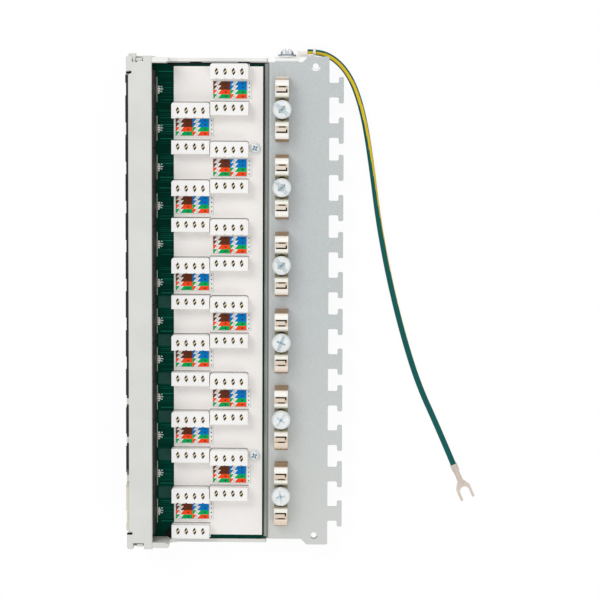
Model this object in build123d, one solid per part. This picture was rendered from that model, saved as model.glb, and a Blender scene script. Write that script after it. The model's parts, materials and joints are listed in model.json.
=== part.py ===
"""Twelve-port shielded patch panel with its cover off, in millimetres.

X runs along the row of ports, Y from the front face to the rear, Z up. The origin is the
middle of the flat underside that the panel rests on. Depths are measured from the front
face of the housing's end caps, and heights from the underside.
"""
from build123d import *
import math
import os

# Ports and housing length
PORT_COUNT = 12
PORT_PITCH = 20.0
END_MARGIN = 7.0
HOUSING_LENGTH = PORT_COUNT * PORT_PITCH + 2 * END_MARGIN
FRONT_Y = -36.0

# Sheet metal chassis
SHEET = 1.2
BEND = 0.8
BOARD_TOP = 12.0
PLATFORM_DEPTH = 31.8
SIDE_GAP = 0.2
TAB_STAGGER = 0.8
TAB_STEM_WIDTH = 7.5
TAB_STEM = 4.9
TAB_HEAD_WIDTH = 13.6
TAB_HEAD = 2.6
TAB_ROUND = 0.8
EAR_PROUD = 2.9
EAR_WIDTH = 10.9
EAR_HOLE_RADIUS = 1.5
EAR_HOLE_INSET = 4.95
EAR_HOLE_SETBACK = 7.1

# Moulded front housing
HOUSING_DEPTH = 13.1
HOUSING_WALL = 1.8
HOUSING_ROUND = 1.2
HOUSING_EDGE = 0.6
FACE_SETBACK = 1.2
CAP_LENGTH = 7.6
SLIT_WIDTH = 1.4
SLIT_DEPTH = 2.9
SLIT_CHAMFER = 1.0
SLIT_FOOT = 2.0
RECESS_LENGTH = 3.2
RECESS_FRONT = 3.1
RECESS_WIDTH = 5.7
RECESS_HEIGHT = 8.0
SHAFT_SKIN = 0.6
SHAFT_WIDTH = 1.7
SHAFT_FOOT = 6.0
CATCH_THICKNESS = 1.4
CATCH_INSET = 1.2
CATCH_SETBACK = 2.0
CATCH_WIDTH = 3.1
CATCH_DROP = 1.0
HOOK_PROUD = 1.3
HOOK_WIDTH = 3.5
HOOK_ARM = 1.4
HOOK_HEIGHT = 5.0
ARM_THICKNESS = 1.8
ARM_INSET = 0.7
CHEEK_DEPTH = 8.2
CHEEK_DROP = 0.5
CHEEK_FOOT = 4.2
CHEEK_RISE = 2.5
CHEEK_PAD = 1.0
CHEEK_TAPER = 1.6
NIB_PROUD = 0.45
NIB_LENGTH = 6.0
NIB_HEIGHT = 1.8
NIB_SHARES = (0.25, 0.75)

# Circuit board and wiring plate
BOARD_THICKNESS = 1.6
BOARD_GAP = 0.7
BOARD_REAR_MARGIN = 0.85
STEP_GAP = 1.5
PLATE_THICKNESS = 1.2
PLATE_MARGIN = 1.8
PLATE_SETBACK = 0.8
PLATE_LIP = 1.15
PLATE_SCREW_PORT_COUNT = 4
SCREW_GAP = 0.65

# Jacks
JACK_HEIGHT = 13.5
JACK_REAR = 14.0
JACK_GAP = 0.4
JACK_SEAT = 0.3
JACK_CLEARANCE = 0.2
JACK_CHAMFER = 0.6
NOSE_CHAMFER = 0.3
NOSE_WIDTH = 13.3
NOSE_HEIGHT = 12.9
NOSE_LIFT = 0.4
NOSE_SETBACK = 0.4
SHIELD_SHEET = 0.4
SHIELD_FOOT = 3.0
SHIELD_MARGIN = 0.5
SHIELD_DROP = 0.9
LIP_PROUD = 1.6
LIP_ROUND = 0.19
LATCH_NOTCH_WIDTH = 6.3
LATCH_NOTCH_DEPTH = 0.35
SOCKET_WIDTH = 11.7
SOCKET_HEIGHT = 6.7
SOCKET_LIFT = 4.3
SOCKET_DEPTH = 10.6
LATCH_WIDTH = 6.2
LATCH_HEIGHT = 1.5
KEY_WIDTH = 3.4
KEY_HEIGHT = 1.2
SPRING_COUNT = 8
SPRING_PITCH = 1.02
SPRING_SIZE = 0.35
SPRING_FRONT = 4.5
SPRING_RUN = 6.4
SPRING_FALL = 2.0

# Four-way strips, their contacts and the colour cards
COLUMN_DEPTH = 32.15
COLUMN_PITCH = 19.95
STRIP_LENGTH = 19.55
STRIP_HEIGHT = 7.0
ROW_OFFSET = 9.25
UPPER_OUTER = 4.15
UPPER_INNER = 3.85
LOWER_OUTER = 3.8
LOWER_INNER = 3.2
STRIP_ROUND = 1.3
CONTACT_COUNT = 4
CONTACT_PITCH = 4.33
POCKET_LENGTH = 3.9
POCKET_WIDTH = 1.8
POCKET_WAIST = 1.4
POCKET_DEPTH = 3.6
NOTCH_WIDTH = 1.0
NOTCH_DEPTH = 0.45
NOTCH_HEIGHT = 1.6
BLADE_LENGTH = 1.9
BLADE_THICKNESS = 0.4
BLADE_HEIGHT = 2.9
WINDOW_GAP = 0.35
CARD_LENGTH = 20.3
CARD_WIDTH = 9.2
CARD_THICKNESS = 0.2
CARD_SHIFT = 1.45

# Cable clamps and their screws
CLAMP_SETBACK = 7.7
CLAMP_WIDTH = 6.9
CLAMP_SHEET = 0.8
CLAMP_HALF = 16.8
VALLEY_HALF = 4.9
VALLEY_HEIGHT = 7.4
SADDLE_START = 7.4
SADDLE_HEIGHT = 9.8
SADDLE_ROUND = 3.9
LEG_FOOT = 0.9
TONGUE_START = 8.5
TONGUE_LENGTH = 3.5
TONGUE_CUT = 0.8
TONGUE_MARGIN = 0.6
CLAMP_SLOT_LENGTH = 11.6
CLAMP_SCREW_RADIUS = 2.0
CLAMP_HEAD_RADIUS = 4.85
CLAMP_HEAD_HEIGHT = 3.4
CLAMP_FLANGE_HEIGHT = 2.5
CLAMP_SHANK_BELOW = 7.4
HOLE_CLEARANCE = 0.15
DRIVE_SLOT = 1.2
DRIVE_DEPTH = 0.9
CROSS_WIDTH = 1.0
CROSS_LENGTH = 4.6
CROSS_DEPTH = 1.6
HEAD_TAPER = 0.8
DRIVE_TURNS = (48, 42, 40, -22, -35, 10)

# Plate screws and standoffs
PLATE_SCREW_RADIUS = 1.5
PLATE_HEAD_RADIUS = 2.75
PLATE_HEAD_HEIGHT = 2.0
PLATE_FLANGE = 1.0
PLATE_SCREW_LENGTH = 8.0
STANDOFF_FLATS = 5.5
FRONT_STANDOFF_DEPTH = 18.0

# Earth lug, its screw and the two terminals
LUG_FRONT = 3.7
LUG_WIDTH = 12.2
LUG_DROP = 11.0
LUG_PROUD = 2.7
LUG_BEND = 1.4
LUG_ROUND = 2.0
EARTH_SCREW_DROP = 6.0
EARTH_SCREW_RADIUS = 2.0
EARTH_HEAD_RADIUS = 3.5
EARTH_HEAD_HEIGHT = 2.9
EARTH_FLANGE = 1.0
EARTH_SCREW_REACH = 7.0
WASHER_RADIUS = 4.7
WASHER_THICKNESS = 0.6
RING_RADIUS = 4.5
TONGUE_SHEET = 0.7
CRIMP_RADIUS = 1.5
CRIMP_START = 5.4
CRIMP_LENGTH = 5.15
NECK_HALF = 1.4
GRIP_RADIUS = 1.9
GRIP_FIT = 0.05
GRIP_WIDTH = 1.3
GRIP_SETBACK = 2.9
STRAP_WIDTH = 2.4
FORK_WIDTH = 7.8
FORK_SLOT = 5.0
FORK_SLOT_DEPTH = 6.8
FORK_LENGTH = 17.2
FORK_SHEET = 0.8
FORK_PALM = 10.6
FORK_NECK = 6.2
FORK_GRIP = 3.0

# Earth wire, as points of its middle line: along X, depth, height
WIRE_RADIUS = 1.5
WIRE_POINTS = (
    (-129.6, 97.6, 6.0),
    (-127.7, 103.2, 5.7),
    (-124.1, 108.2, 5.2),
    (-118.9, 112.6, 4.6),
    (-111.7, 116.4, 3.8),
    (-101.3, 119.9, 2.8),
    (-87.9, 122.8, 2.0),
    (-67.5, 125.9, 1.6),
    (-41.4, 129.3, 1.5),
    (-13.1, 134.7, 1.5),
    (16.3, 142.0, 1.5),
    (43.7, 150.6, 1.5),
    (66.2, 161.0, 1.9),
    (88.7, 170.6, 1.9),
)
ARC_SHARE = 0.45

# How far a cutter runs past what it cuts
OVERRUN = 1.0

# Places worked out from the sizes above
HALF_LENGTH = HOUSING_LENGTH / 2
HOUSING_TOP = BOARD_TOP + JACK_HEIGHT + JACK_CLEARANCE + HOUSING_WALL
FACE_REAR = FACE_SETBACK + HOUSING_WALL
ARM_OUTER = HALF_LENGTH - ARM_INSET
ARM_INNER = ARM_OUTER - ARM_THICKNESS
BODY_HALF = ARM_INNER - SIDE_GAP
EAR_HALF = BODY_HALF + EAR_PROUD
CHEEK_REAR = HOUSING_DEPTH + CHEEK_DEPTH
PLATE_FRONT = COLUMN_DEPTH - STRIP_LENGTH / 2 + PLATE_SETBACK
STRIPS_REAR = COLUMN_DEPTH + COLUMN_PITCH + STRIP_LENGTH / 2
PLATE_SCREW_DEPTH = STRIPS_REAR + SCREW_GAP + PLATE_HEAD_RADIUS
PLATE_REAR = PLATE_SCREW_DEPTH + PLATE_HEAD_RADIUS + PLATE_LIP
BOARD_REAR = PLATE_REAR + BOARD_REAR_MARGIN
STEP_FRONT = BOARD_REAR + STEP_GAP
PLATFORM_REAR = STEP_FRONT + PLATFORM_DEPTH
STEM_REAR = PLATFORM_REAR + TAB_STEM
HEAD_REAR = STEM_REAR + TAB_HEAD
CLAMP_DEPTH = STEP_FRONT + CLAMP_SETBACK
BOARD_UNDER = BOARD_TOP - BOARD_THICKNESS
BOARD_HALF = ARM_INNER - BOARD_GAP
PLATE_TOP = BOARD_TOP + PLATE_THICKNESS
STRIP_TOP = BOARD_TOP + STRIP_HEIGHT
NOSE_BOTTOM = BOARD_TOP + NOSE_LIFT
NOSE_TOP = NOSE_BOTTOM + NOSE_HEIGHT
PORTS = [(i - (PORT_COUNT - 1) / 2) * PORT_PITCH for i in range(PORT_COUNT)]
CLAMPS = [(a + b) / 2 for a, b in zip(PORTS[0::2], PORTS[1::2])]
VALLEY_TOP = BOARD_TOP + VALLEY_HEIGHT
LUG_FACE = -BODY_HALF - LUG_PROUD
LUG_CENTRE = STEP_FRONT + LUG_FRONT + LUG_WIDTH / 2
EARTH_Z = BOARD_TOP - EARTH_SCREW_DROP
RING_FACE = LUG_FACE - TONGUE_SHEET
WASHER_FACE = RING_FACE - WASHER_THICKNESS
CRIMP_X = LUG_FACE - CRIMP_RADIUS
WIRE_X = RING_FACE - GRIP_RADIUS
CRIMP_FRONT = LUG_CENTRE + CRIMP_START
WIRE_EXIT = CRIMP_FRONT + CRIMP_LENGTH


def block(x, y, z):
    """A box between two X values, two depths and two heights."""
    size = [hi - lo for lo, hi in (x, y, z)]
    centre = [(lo + hi) / 2 for lo, hi in (x, y, z)]
    return Pos(centre[0], FRONT_Y + centre[1], centre[2]) * Box(*size)


def rod(radius, x, depth, low, high):
    """An upright cylinder."""
    return Pos(x, FRONT_Y + depth, (low + high) / 2) * Cylinder(radius, high - low)


def rod_x(radius, x_low, x_high, depth, height):
    """A cylinder along X."""
    place = Pos((x_low + x_high) / 2, FRONT_Y + depth, height) * Rot(0, 90, 0)
    return place * Cylinder(radius, x_high - x_low)


def outline(*points):
    """A flat face inside straight edges."""
    return make_face(Polyline(*points, close=True))


def corners(sketch, *points):
    """The vertices of a sketch nearest to the given points."""
    return [sketch.vertices().sort_by_distance((p[0], p[1], 0))[0] for p in points]


def side_profile(sketch, x_low, x_high):
    """Extrudes a sketch of depth and height along X."""
    placed = Plane((x_low, FRONT_Y, 0), x_dir=(0, 1, 0), z_dir=(1, 0, 0)) * sketch
    return extrude(placed, amount=x_high - x_low)


def end_profile(sketch, depth, width):
    """Extrudes a sketch of X and height along Y, about one depth."""
    plane = Plane((0, FRONT_Y + depth + width / 2, 0), x_dir=(1, 0, 0), z_dir=(0, -1, 0))
    return extrude(plane * sketch, amount=width)


def plan(sketch, low, high):
    """Extrudes a sketch of X and depth upwards."""
    return Pos(0, FRONT_Y, low) * extrude(sketch, amount=high - low)


def chassis_fold():
    """Floor, step wall and platform: a Z-shaped fold of one sheet."""
    under = BOARD_TOP - SHEET
    wall_rear = STEP_FRONT + SHEET
    floor_front = FACE_REAR + SIDE_GAP
    section = outline(
        (floor_front, 0), (wall_rear, 0), (wall_rear, under), (PLATFORM_REAR, under),
        (PLATFORM_REAR, BOARD_TOP), (STEP_FRONT, BOARD_TOP), (STEP_FRONT, SHEET), (floor_front, SHEET),
    )
    section = fillet(corners(section, (wall_rear, 0), (STEP_FRONT, BOARD_TOP)), BEND + SHEET)
    section = fillet(corners(section, (wall_rear, under), (STEP_FRONT, SHEET)), BEND)
    return side_profile(section, -BODY_HALF, BODY_HALF)


def chassis_edge():
    """Rear edge of the platform in plan: T-shaped tie tabs and the two ears."""
    strip_front = PLATFORM_REAR - TAB_STEM
    edge = outline(
        (-BODY_HALF, strip_front), (BODY_HALF, strip_front),
        (BODY_HALF, PLATFORM_REAR), (-BODY_HALF, PLATFORM_REAR),
    )
    for number, port in enumerate(PORTS):
        x = port + TAB_STAGGER * (number % 2)
        stem = Pos(x, (strip_front + HEAD_REAR) / 2) * Rectangle(TAB_STEM_WIDTH, HEAD_REAR - strip_front)
        head = Pos(x, (STEM_REAR + HEAD_REAR) / 2) * Rectangle(TAB_HEAD_WIDTH, TAB_HEAD)
        edge += stem + head
    ear_front = PLATFORM_REAR - EAR_WIDTH
    for side in (-1, 1):
        edge += outline(
            (side * BODY_HALF, ear_front - EAR_PROUD), (side * EAR_HALF, ear_front),
            (side * EAR_HALF, PLATFORM_REAR), (side * (BODY_HALF - SHEET), PLATFORM_REAR),
            (side * (BODY_HALF - SHEET), ear_front - EAR_PROUD),
        )
    rounded = [v for v in edge.vertices() if v.Y > PLATFORM_REAR - SIDE_GAP]
    return fillet(rounded, TAB_ROUND)


def earth_lug():
    """The part of the sheet bent down at one end for the earth screw."""
    under = BOARD_TOP - SHEET
    foot = BOARD_TOP - LUG_DROP
    inner = LUG_FACE + SHEET
    root = -BODY_HALF + SHEET
    section = outline(
        (root, under), (inner, under), (inner, foot),
        (LUG_FACE, foot), (LUG_FACE, BOARD_TOP), (root, BOARD_TOP),
    )
    section = fillet(corners(section, (LUG_FACE, BOARD_TOP)), LUG_BEND + SHEET)
    section = fillet(corners(section, (inner, under)), LUG_BEND)
    lug = end_profile(section, LUG_CENTRE, LUG_WIDTH)
    lug = fillet(lug.edges().filter_by(Axis.X).group_by(Axis.Z)[0], LUG_ROUND)
    hole = EARTH_SCREW_RADIUS + HOLE_CLEARANCE
    return lug - rod_x(hole, LUG_FACE - OVERRUN, inner + OVERRUN, LUG_CENTRE, EARTH_Z)


def chassis():
    """The folded sheet with its ears, tie tabs, earth lug and holes."""
    under = BOARD_TOP - SHEET
    body = chassis_fold() + plan(chassis_edge(), under, BOARD_TOP) + earth_lug()
    through = (under - OVERRUN, BOARD_TOP + OVERRUN)
    for side in (-1, 1):
        x = side * (EAR_HALF - EAR_HOLE_INSET)
        body -= rod(EAR_HOLE_RADIUS, x, PLATFORM_REAR - EAR_HOLE_SETBACK, *through)
    for x in CLAMPS:
        body -= rod(CLAMP_SCREW_RADIUS + HOLE_CLEARANCE, x, CLAMP_DEPTH, *through)
    return body


def housing_shell():
    """Front frame, top plate and hollow end caps."""
    shell = block((-HALF_LENGTH, HALF_LENGTH), (0, HOUSING_DEPTH), (0, HOUSING_TOP))
    shell = fillet(shell.edges().filter_by(Axis.Z).group_by(Axis.Y)[0], HOUSING_ROUND)
    shell = fillet(shell.faces().sort_by(Axis.Z)[-1].edges(), HOUSING_EDGE)
    inner = HALF_LENGTH - HOUSING_WALL
    room = (-OVERRUN, HOUSING_TOP - HOUSING_WALL)
    shell -= block((-inner, inner), (FACE_REAR, HOUSING_DEPTH + OVERRUN), room)
    cap = HALF_LENGTH - CAP_LENGTH
    shell -= block((-cap, cap), (-OVERRUN, FACE_SETBACK), (-OVERRUN, HOUSING_TOP + OVERRUN))
    for side in (-1, 1):
        slit = outline(
            (side * cap, -OVERRUN), (side * cap, SLIT_DEPTH), (side * (cap - SLIT_WIDTH), SLIT_DEPTH),
            (side * (cap - SLIT_WIDTH), FACE_SETBACK + SLIT_CHAMFER),
            (side * (cap - SLIT_WIDTH - SLIT_CHAMFER), FACE_SETBACK),
            (side * (cap - SLIT_WIDTH - SLIT_CHAMFER), -OVERRUN),
        )
        shell -= plan(slit, SLIT_FOOT, HOUSING_TOP + OVERRUN)
    return shell


def housing_recess(side):
    """The notch in an end cap's top and the deep shaft at its front, as a cutter."""
    inner = side * (HALF_LENGTH - RECESS_LENGTH)
    low, high = sorted((inner, side * (HALF_LENGTH + OVERRUN)))
    top = HOUSING_TOP + OVERRUN
    reach = (RECESS_FRONT, RECESS_FRONT + RECESS_WIDTH)
    notch = block((low, high), reach, (HOUSING_TOP - RECESS_HEIGHT, top))
    low, high = sorted((inner, side * (HALF_LENGTH - SHAFT_SKIN)))
    return notch + block((low, high), (RECESS_FRONT, RECESS_FRONT + SHAFT_WIDTH), (SHAFT_FOOT, top))


def housing_catch(side):
    """The upright tongue in that notch, which the cover snaps over."""
    outer = HALF_LENGTH - CATCH_INSET
    low, high = sorted((side * (outer - CATCH_THICKNESS), side * outer))
    front = RECESS_FRONT + CATCH_SETBACK
    heights = (HOUSING_TOP - RECESS_HEIGHT - CATCH_DROP, HOUSING_TOP - CATCH_DROP)
    return block((low, high), (front, front + CATCH_WIDTH), heights)


def cover_hook():
    """The angled hook on the first end cap, standing a little out of it."""
    heights = (HOUSING_TOP - CATCH_DROP - HOOK_HEIGHT, HOUSING_TOP - CATCH_DROP)
    outer = -HALF_LENGTH - HOOK_PROUD
    rear = RECESS_FRONT + SHAFT_WIDTH
    lip = block((outer, -HALF_LENGTH + HOOK_PROUD), (rear - HOOK_WIDTH, rear), heights)
    arm = block((outer, -HALF_LENGTH + RECESS_LENGTH), (rear - HOOK_ARM, rear), heights)
    lip = fillet(lip.edges().filter_by(Axis.Z).group_by(Axis.X)[0], HOUSING_EDGE)
    return lip + arm


def housing_arm(side):
    """A cheek that steps down into the low side wall."""
    front = HOUSING_DEPTH - HOUSING_WALL
    top = HOUSING_TOP - CHEEK_DROP
    wall_rear = STEP_FRONT - SIDE_GAP
    section = outline(
        (front, 0), (wall_rear, 0), (wall_rear, BOARD_TOP), (CHEEK_REAR + CHEEK_FOOT, BOARD_TOP),
        (CHEEK_REAR, BOARD_TOP + CHEEK_RISE), (CHEEK_REAR, top), (front, top),
    )
    section = fillet(corners(section, (wall_rear, BOARD_TOP), (CHEEK_REAR, top)), HOUSING_ROUND)
    low, high = sorted((side * ARM_INNER, side * ARM_OUTER))
    arm = side_profile(section, low, high)
    pad = outline(
        (side * ARM_OUTER, front), (side * (ARM_INNER - CHEEK_PAD), front),
        (side * (ARM_INNER - CHEEK_PAD), CHEEK_REAR - CHEEK_TAPER), (side * ARM_INNER, CHEEK_REAR),
        (side * ARM_OUTER, CHEEK_REAR),
    )
    arm += plan(pad, BOARD_TOP + SIDE_GAP, top)
    nib_low, nib_high = sorted((side * (ARM_INNER - NIB_PROUD), side * ARM_INNER))
    for share in NIB_SHARES:
        centre = CHEEK_REAR + share * (wall_rear - CHEEK_REAR)
        reach = (centre - NIB_LENGTH / 2, centre + NIB_LENGTH / 2)
        floor_top = SHEET + SIDE_GAP / 2
        arm += block((nib_low, nib_high), reach, (floor_top, floor_top + NIB_HEIGHT))
    return arm


def nose_opening(x):
    """The way through the face for one jack's nose, as a cutter."""
    half = NOSE_WIDTH / 2 + JACK_CLEARANCE
    heights = (NOSE_BOTTOM - JACK_CLEARANCE, NOSE_TOP + JACK_CLEARANCE)
    return block((x - half, x + half), (-OVERRUN, FACE_REAR + OVERRUN), heights)


def front_shield():
    """Sheet over the set-back face, with the jack openings and a lip notched at each latch."""
    half = HALF_LENGTH - CAP_LENGTH - SLIT_WIDTH - SHIELD_MARGIN
    top = HOUSING_TOP - SHIELD_DROP
    front = FACE_SETBACK - SHIELD_SHEET
    shield = block((-half, half), (front, FACE_SETBACK), (SHIELD_FOOT, top))
    lip_front = FACE_SETBACK - LIP_PROUD
    lip = block((-half, half), (lip_front, FACE_SETBACK), (top - SHIELD_SHEET, top))
    for x in PORTS:
        reach = (lip_front - OVERRUN, lip_front + LATCH_NOTCH_DEPTH)
        across = (x - LATCH_NOTCH_WIDTH / 2, x + LATCH_NOTCH_WIDTH / 2)
        lip -= block(across, reach, (top - SHIELD_SHEET - OVERRUN, top + OVERRUN))
        shield -= nose_opening(x)
    middle = FRONT_Y + lip_front + LIP_PROUD / 2
    rounded = [edge for edge in lip.edges().filter_by(Axis.X) if edge.center().Y < middle]
    return shield + fillet(rounded, LIP_ROUND)


def front_housing():
    """The moulded frame with its jack openings, recesses, catches and side arms."""
    shell = housing_shell()
    for x in PORTS:
        shell -= nose_opening(x)
    for side in (-1, 1):
        shell = shell - housing_recess(side) + housing_catch(side) + housing_arm(side)
    return shell + cover_hook()


def circuit_board():
    """The board under the jacks and strips."""
    front = FACE_REAR + SIDE_GAP
    board = block((-BOARD_HALF, BOARD_HALF), (front, BOARD_REAR), (BOARD_UNDER, BOARD_TOP))
    through = (BOARD_UNDER - OVERRUN, BOARD_TOP + OVERRUN)
    for x, depth in plate_screw_places():
        board -= rod(PLATE_SCREW_RADIUS + HOLE_CLEARANCE, x, depth, *through)
    return board


def plate_screw_places():
    """X and depth of the two screws through the wiring plate."""
    reach = PLATE_SCREW_PORT_COUNT * PORT_PITCH
    return [(side * reach, PLATE_SCREW_DEPTH) for side in (-1, 1)]


def strip_outline(upper, grow=0.0):
    """A strip in plan about its row of contacts, grown by a gap for its window."""
    if upper:
        low, high = -UPPER_OUTER, UPPER_INNER
    else:
        low, high = -LOWER_INNER, LOWER_OUTER
    low, high = low - grow, high + grow
    half = STRIP_LENGTH / 2 + grow
    face = outline((low, -half), (high, -half), (high, half), (low, half))
    if upper:
        face = fillet(corners(face, (low, -half), (low, half)), STRIP_ROUND + grow)
    return face


def strip_places():
    """Name, X of the contact row, depth of the middle and kind of each strip."""
    places = []
    for number, x in enumerate(PORTS, start=1):
        depth = COLUMN_DEPTH + COLUMN_PITCH * (number % 2)
        places.append((f"strip_{number:02d}_upper", x - ROW_OFFSET, depth, True))
        places.append((f"strip_{number:02d}_lower", x + ROW_OFFSET, depth, False))
    return places


def cover_plate():
    """The wiring plate on the board, with a window round each strip."""
    half = BOARD_HALF - PLATE_MARGIN
    plate = block((-half, half), (PLATE_FRONT, PLATE_REAR), (BOARD_TOP, PLATE_TOP))
    through = (BOARD_TOP - OVERRUN, PLATE_TOP + OVERRUN)
    for _, x, depth, upper in strip_places():
        plate -= plan(Pos(x, depth) * strip_outline(upper, WINDOW_GAP), *through)
    for x, depth in plate_screw_places():
        plate -= rod(PLATE_SCREW_RADIUS + HOLE_CLEARANCE, x, depth, *through)
    return plate


def strip(upper):
    """One four-way strip about its contact row, with a pocket for each contact."""
    body = extrude(strip_outline(upper), amount=STRIP_HEIGHT)
    half, waist = POCKET_LENGTH / 2, POCKET_WAIST / 2
    side = POCKET_WIDTH / 2
    pocket = outline(
        (-half, 0), (-waist, -side), (waist, -side), (half, 0), (waist, side), (-waist, side),
    )
    for i in range(CONTACT_COUNT):
        y = (i - (CONTACT_COUNT - 1) / 2) * CONTACT_PITCH
        body -= Pos(0, y, STRIP_HEIGHT - POCKET_DEPTH) * extrude(pocket, amount=POCKET_DEPTH + OVERRUN)
        if upper:
            notch = Box(NOTCH_DEPTH * 2, NOTCH_WIDTH, NOTCH_HEIGHT * 2)
            body -= Pos(UPPER_INNER, y, STRIP_HEIGHT) * notch
    return body


def strip_contacts():
    """The slanting blades on the pocket floors of every strip."""
    blades = []
    z = STRIP_TOP - POCKET_DEPTH + BLADE_HEIGHT / 2
    for _, x, depth, _ in strip_places():
        for i in range(CONTACT_COUNT):
            y = FRONT_Y + depth + (i - (CONTACT_COUNT - 1) / 2) * CONTACT_PITCH
            blades.append(Pos(x, y, z) * Rot(0, 0, 45) * Box(BLADE_THICKNESS, BLADE_LENGTH, BLADE_HEIGHT))
    return Compound(blades)


def colour_cards():
    """The card between the two strips of each port."""
    cards = []
    for number, x in enumerate(PORTS, start=1):
        depth = COLUMN_DEPTH + COLUMN_PITCH * (number % 2) + CARD_SHIFT
        reach = (depth - CARD_LENGTH / 2, depth + CARD_LENGTH / 2)
        across = (x - CARD_WIDTH / 2, x + CARD_WIDTH / 2)
        cards.append(block(across, reach, (PLATE_TOP, PLATE_TOP + CARD_THICKNESS)))
    return Compound(cards)


def socket_profile():
    """A jack's socket seen from the front: plug, latch and key steps."""
    low = BOARD_TOP + SOCKET_LIFT
    high = low + SOCKET_HEIGHT
    latch = low - LATCH_HEIGHT
    key = latch - KEY_HEIGHT
    wide, mid, slim = SOCKET_WIDTH / 2, LATCH_WIDTH / 2, KEY_WIDTH / 2
    return outline(
        (-wide, high), (wide, high), (wide, low), (mid, low), (mid, latch), (slim, latch),
        (slim, key), (-slim, key), (-slim, latch), (-mid, latch), (-mid, low), (-wide, low),
    )


def jack():
    """One jack body at X zero: a wide block behind the housing's wall and a nose through it."""
    half = (PORT_PITCH - JACK_GAP) / 2
    front = FACE_REAR + JACK_SEAT
    body = block((-half, half), (front, JACK_REAR), (BOARD_TOP, BOARD_TOP + JACK_HEIGHT))
    body = chamfer(body.faces().sort_by(Axis.Y)[-1].edges().sort_by(Axis.Z)[-1], JACK_CHAMFER)
    half_nose = NOSE_WIDTH / 2
    nose = block((-half_nose, half_nose), (NOSE_SETBACK, front), (NOSE_BOTTOM, NOSE_TOP))
    body += chamfer(nose.faces().sort_by(Axis.Y)[0].edges(), NOSE_CHAMFER)
    return body - end_profile(socket_profile(), NOSE_SETBACK + SOCKET_DEPTH / 2, SOCKET_DEPTH)


def jack_contacts():
    """Eight slanting springs under the roof of each socket."""
    length = math.hypot(SPRING_RUN, SPRING_FALL)
    tilt = -math.degrees(math.atan2(SPRING_FALL, SPRING_RUN))
    roof = BOARD_TOP + SOCKET_LIFT + SOCKET_HEIGHT
    y = FRONT_Y + SPRING_FRONT + SPRING_RUN / 2
    z = roof - SPRING_SIZE - SPRING_FALL / 2
    springs = []
    for port in PORTS:
        for i in range(SPRING_COUNT):
            x = port + (i - (SPRING_COUNT - 1) / 2) * SPRING_PITCH
            springs.append(Pos(x, y, z) * Rot(tilt, 0, 0) * Box(SPRING_SIZE, length, SPRING_SIZE))
    return Compound(springs)


def clamp_centreline():
    """Middle line of a clamp's sheet, above the platform."""
    inset = CLAMP_SHEET / 2
    valley = VALLEY_HEIGHT - inset
    saddle = SADDLE_HEIGHT - inset
    leg = CLAMP_HALF - LEG_FOOT
    half = [
        (VALLEY_HALF, valley), (SADDLE_START, saddle), (leg, saddle),
        (leg, inset), (CLAMP_HALF, inset),
    ]
    points = [(-x, z) for x, z in reversed(half)] + half
    bends = [CLAMP_SHEET, CLAMP_SHEET, SADDLE_ROUND, CLAMP_SHEET]
    return FilletPolyline(*points, radius=[*reversed(bends), *bends])


def tongue_cut(side):
    """The U-shaped cut that frees a small tongue in a saddle, in plan."""
    start = side * TONGUE_START
    end = side * (TONGUE_START + TONGUE_LENGTH)
    low, high = sorted((start, end))
    near, far = -CLAMP_WIDTH / 2 + TONGUE_MARGIN, CLAMP_WIDTH / 2 - TONGUE_MARGIN
    frame = outline((low, near), (high, near), (high, far), (low, far))
    tongue = outline(
        (low + TONGUE_CUT, near - OVERRUN), (high - TONGUE_CUT, near - OVERRUN),
        (high - TONGUE_CUT, far - TONGUE_CUT), (low + TONGUE_CUT, far - TONGUE_CUT),
    )
    return frame - tongue


def cable_clamp():
    """A double-saddle clamp about its screw, with its feet on height zero and its width along Y."""
    sheet = trace(clamp_centreline(), line_width=CLAMP_SHEET)
    upright = Plane((0, CLAMP_WIDTH / 2, 0), x_dir=(1, 0, 0), z_dir=(0, -1, 0))
    clamp = extrude(upright * sheet, amount=CLAMP_WIDTH)
    opening = SlotOverall(CLAMP_SLOT_LENGTH, 2 * (CLAMP_SCREW_RADIUS + HOLE_CLEARANCE))
    clamp -= extrude(opening, amount=SADDLE_HEIGHT + OVERRUN)
    for side in (-1, 1):
        clamp -= Pos(0, 0, VALLEY_HEIGHT) * extrude(tongue_cut(side), amount=SADDLE_HEIGHT)
    return clamp


def screw(head_radius, head_height, flange, shank_radius, shank_length, slot=0.0):
    """A screw standing on height zero at the underside of its head."""
    taper = (head_height - flange) * HEAD_TAPER
    head = Pos(0, 0, head_height / 2) * Cylinder(head_radius, head_height)
    head = chamfer(head.edges().group_by(Axis.Z)[-1], head_height - flange, taper)
    if slot:
        head -= Pos(0, 0, head_height) * Box(2 * head_radius + OVERRUN, slot, 2 * DRIVE_DEPTH)
        head -= Pos(0, 0, head_height) * Box(CROSS_WIDTH, CROSS_LENGTH, 2 * CROSS_DEPTH)
    return head + Pos(0, 0, -shank_length / 2) * Cylinder(shank_radius, shank_length)


def clamp_screws():
    """The six clamp screws, turned as they were left."""
    length = VALLEY_HEIGHT + CLAMP_SHANK_BELOW
    head = (CLAMP_HEAD_RADIUS, CLAMP_HEAD_HEIGHT, CLAMP_FLANGE_HEIGHT)
    one = screw(*head, CLAMP_SCREW_RADIUS, length, DRIVE_SLOT)
    y = FRONT_Y + CLAMP_DEPTH
    return Compound([Pos(x, y, VALLEY_TOP) * Rot(0, 0, turn) * one for x, turn in zip(CLAMPS, DRIVE_TURNS)])


def plate_screws():
    """The two screws through the wiring plate."""
    head = (PLATE_HEAD_RADIUS, PLATE_HEAD_HEIGHT, PLATE_FLANGE)
    one = screw(*head, PLATE_SCREW_RADIUS, PLATE_SCREW_LENGTH)
    return Compound([Pos(x, FRONT_Y + depth, PLATE_TOP) * one for x, depth in plate_screw_places()])


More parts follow.
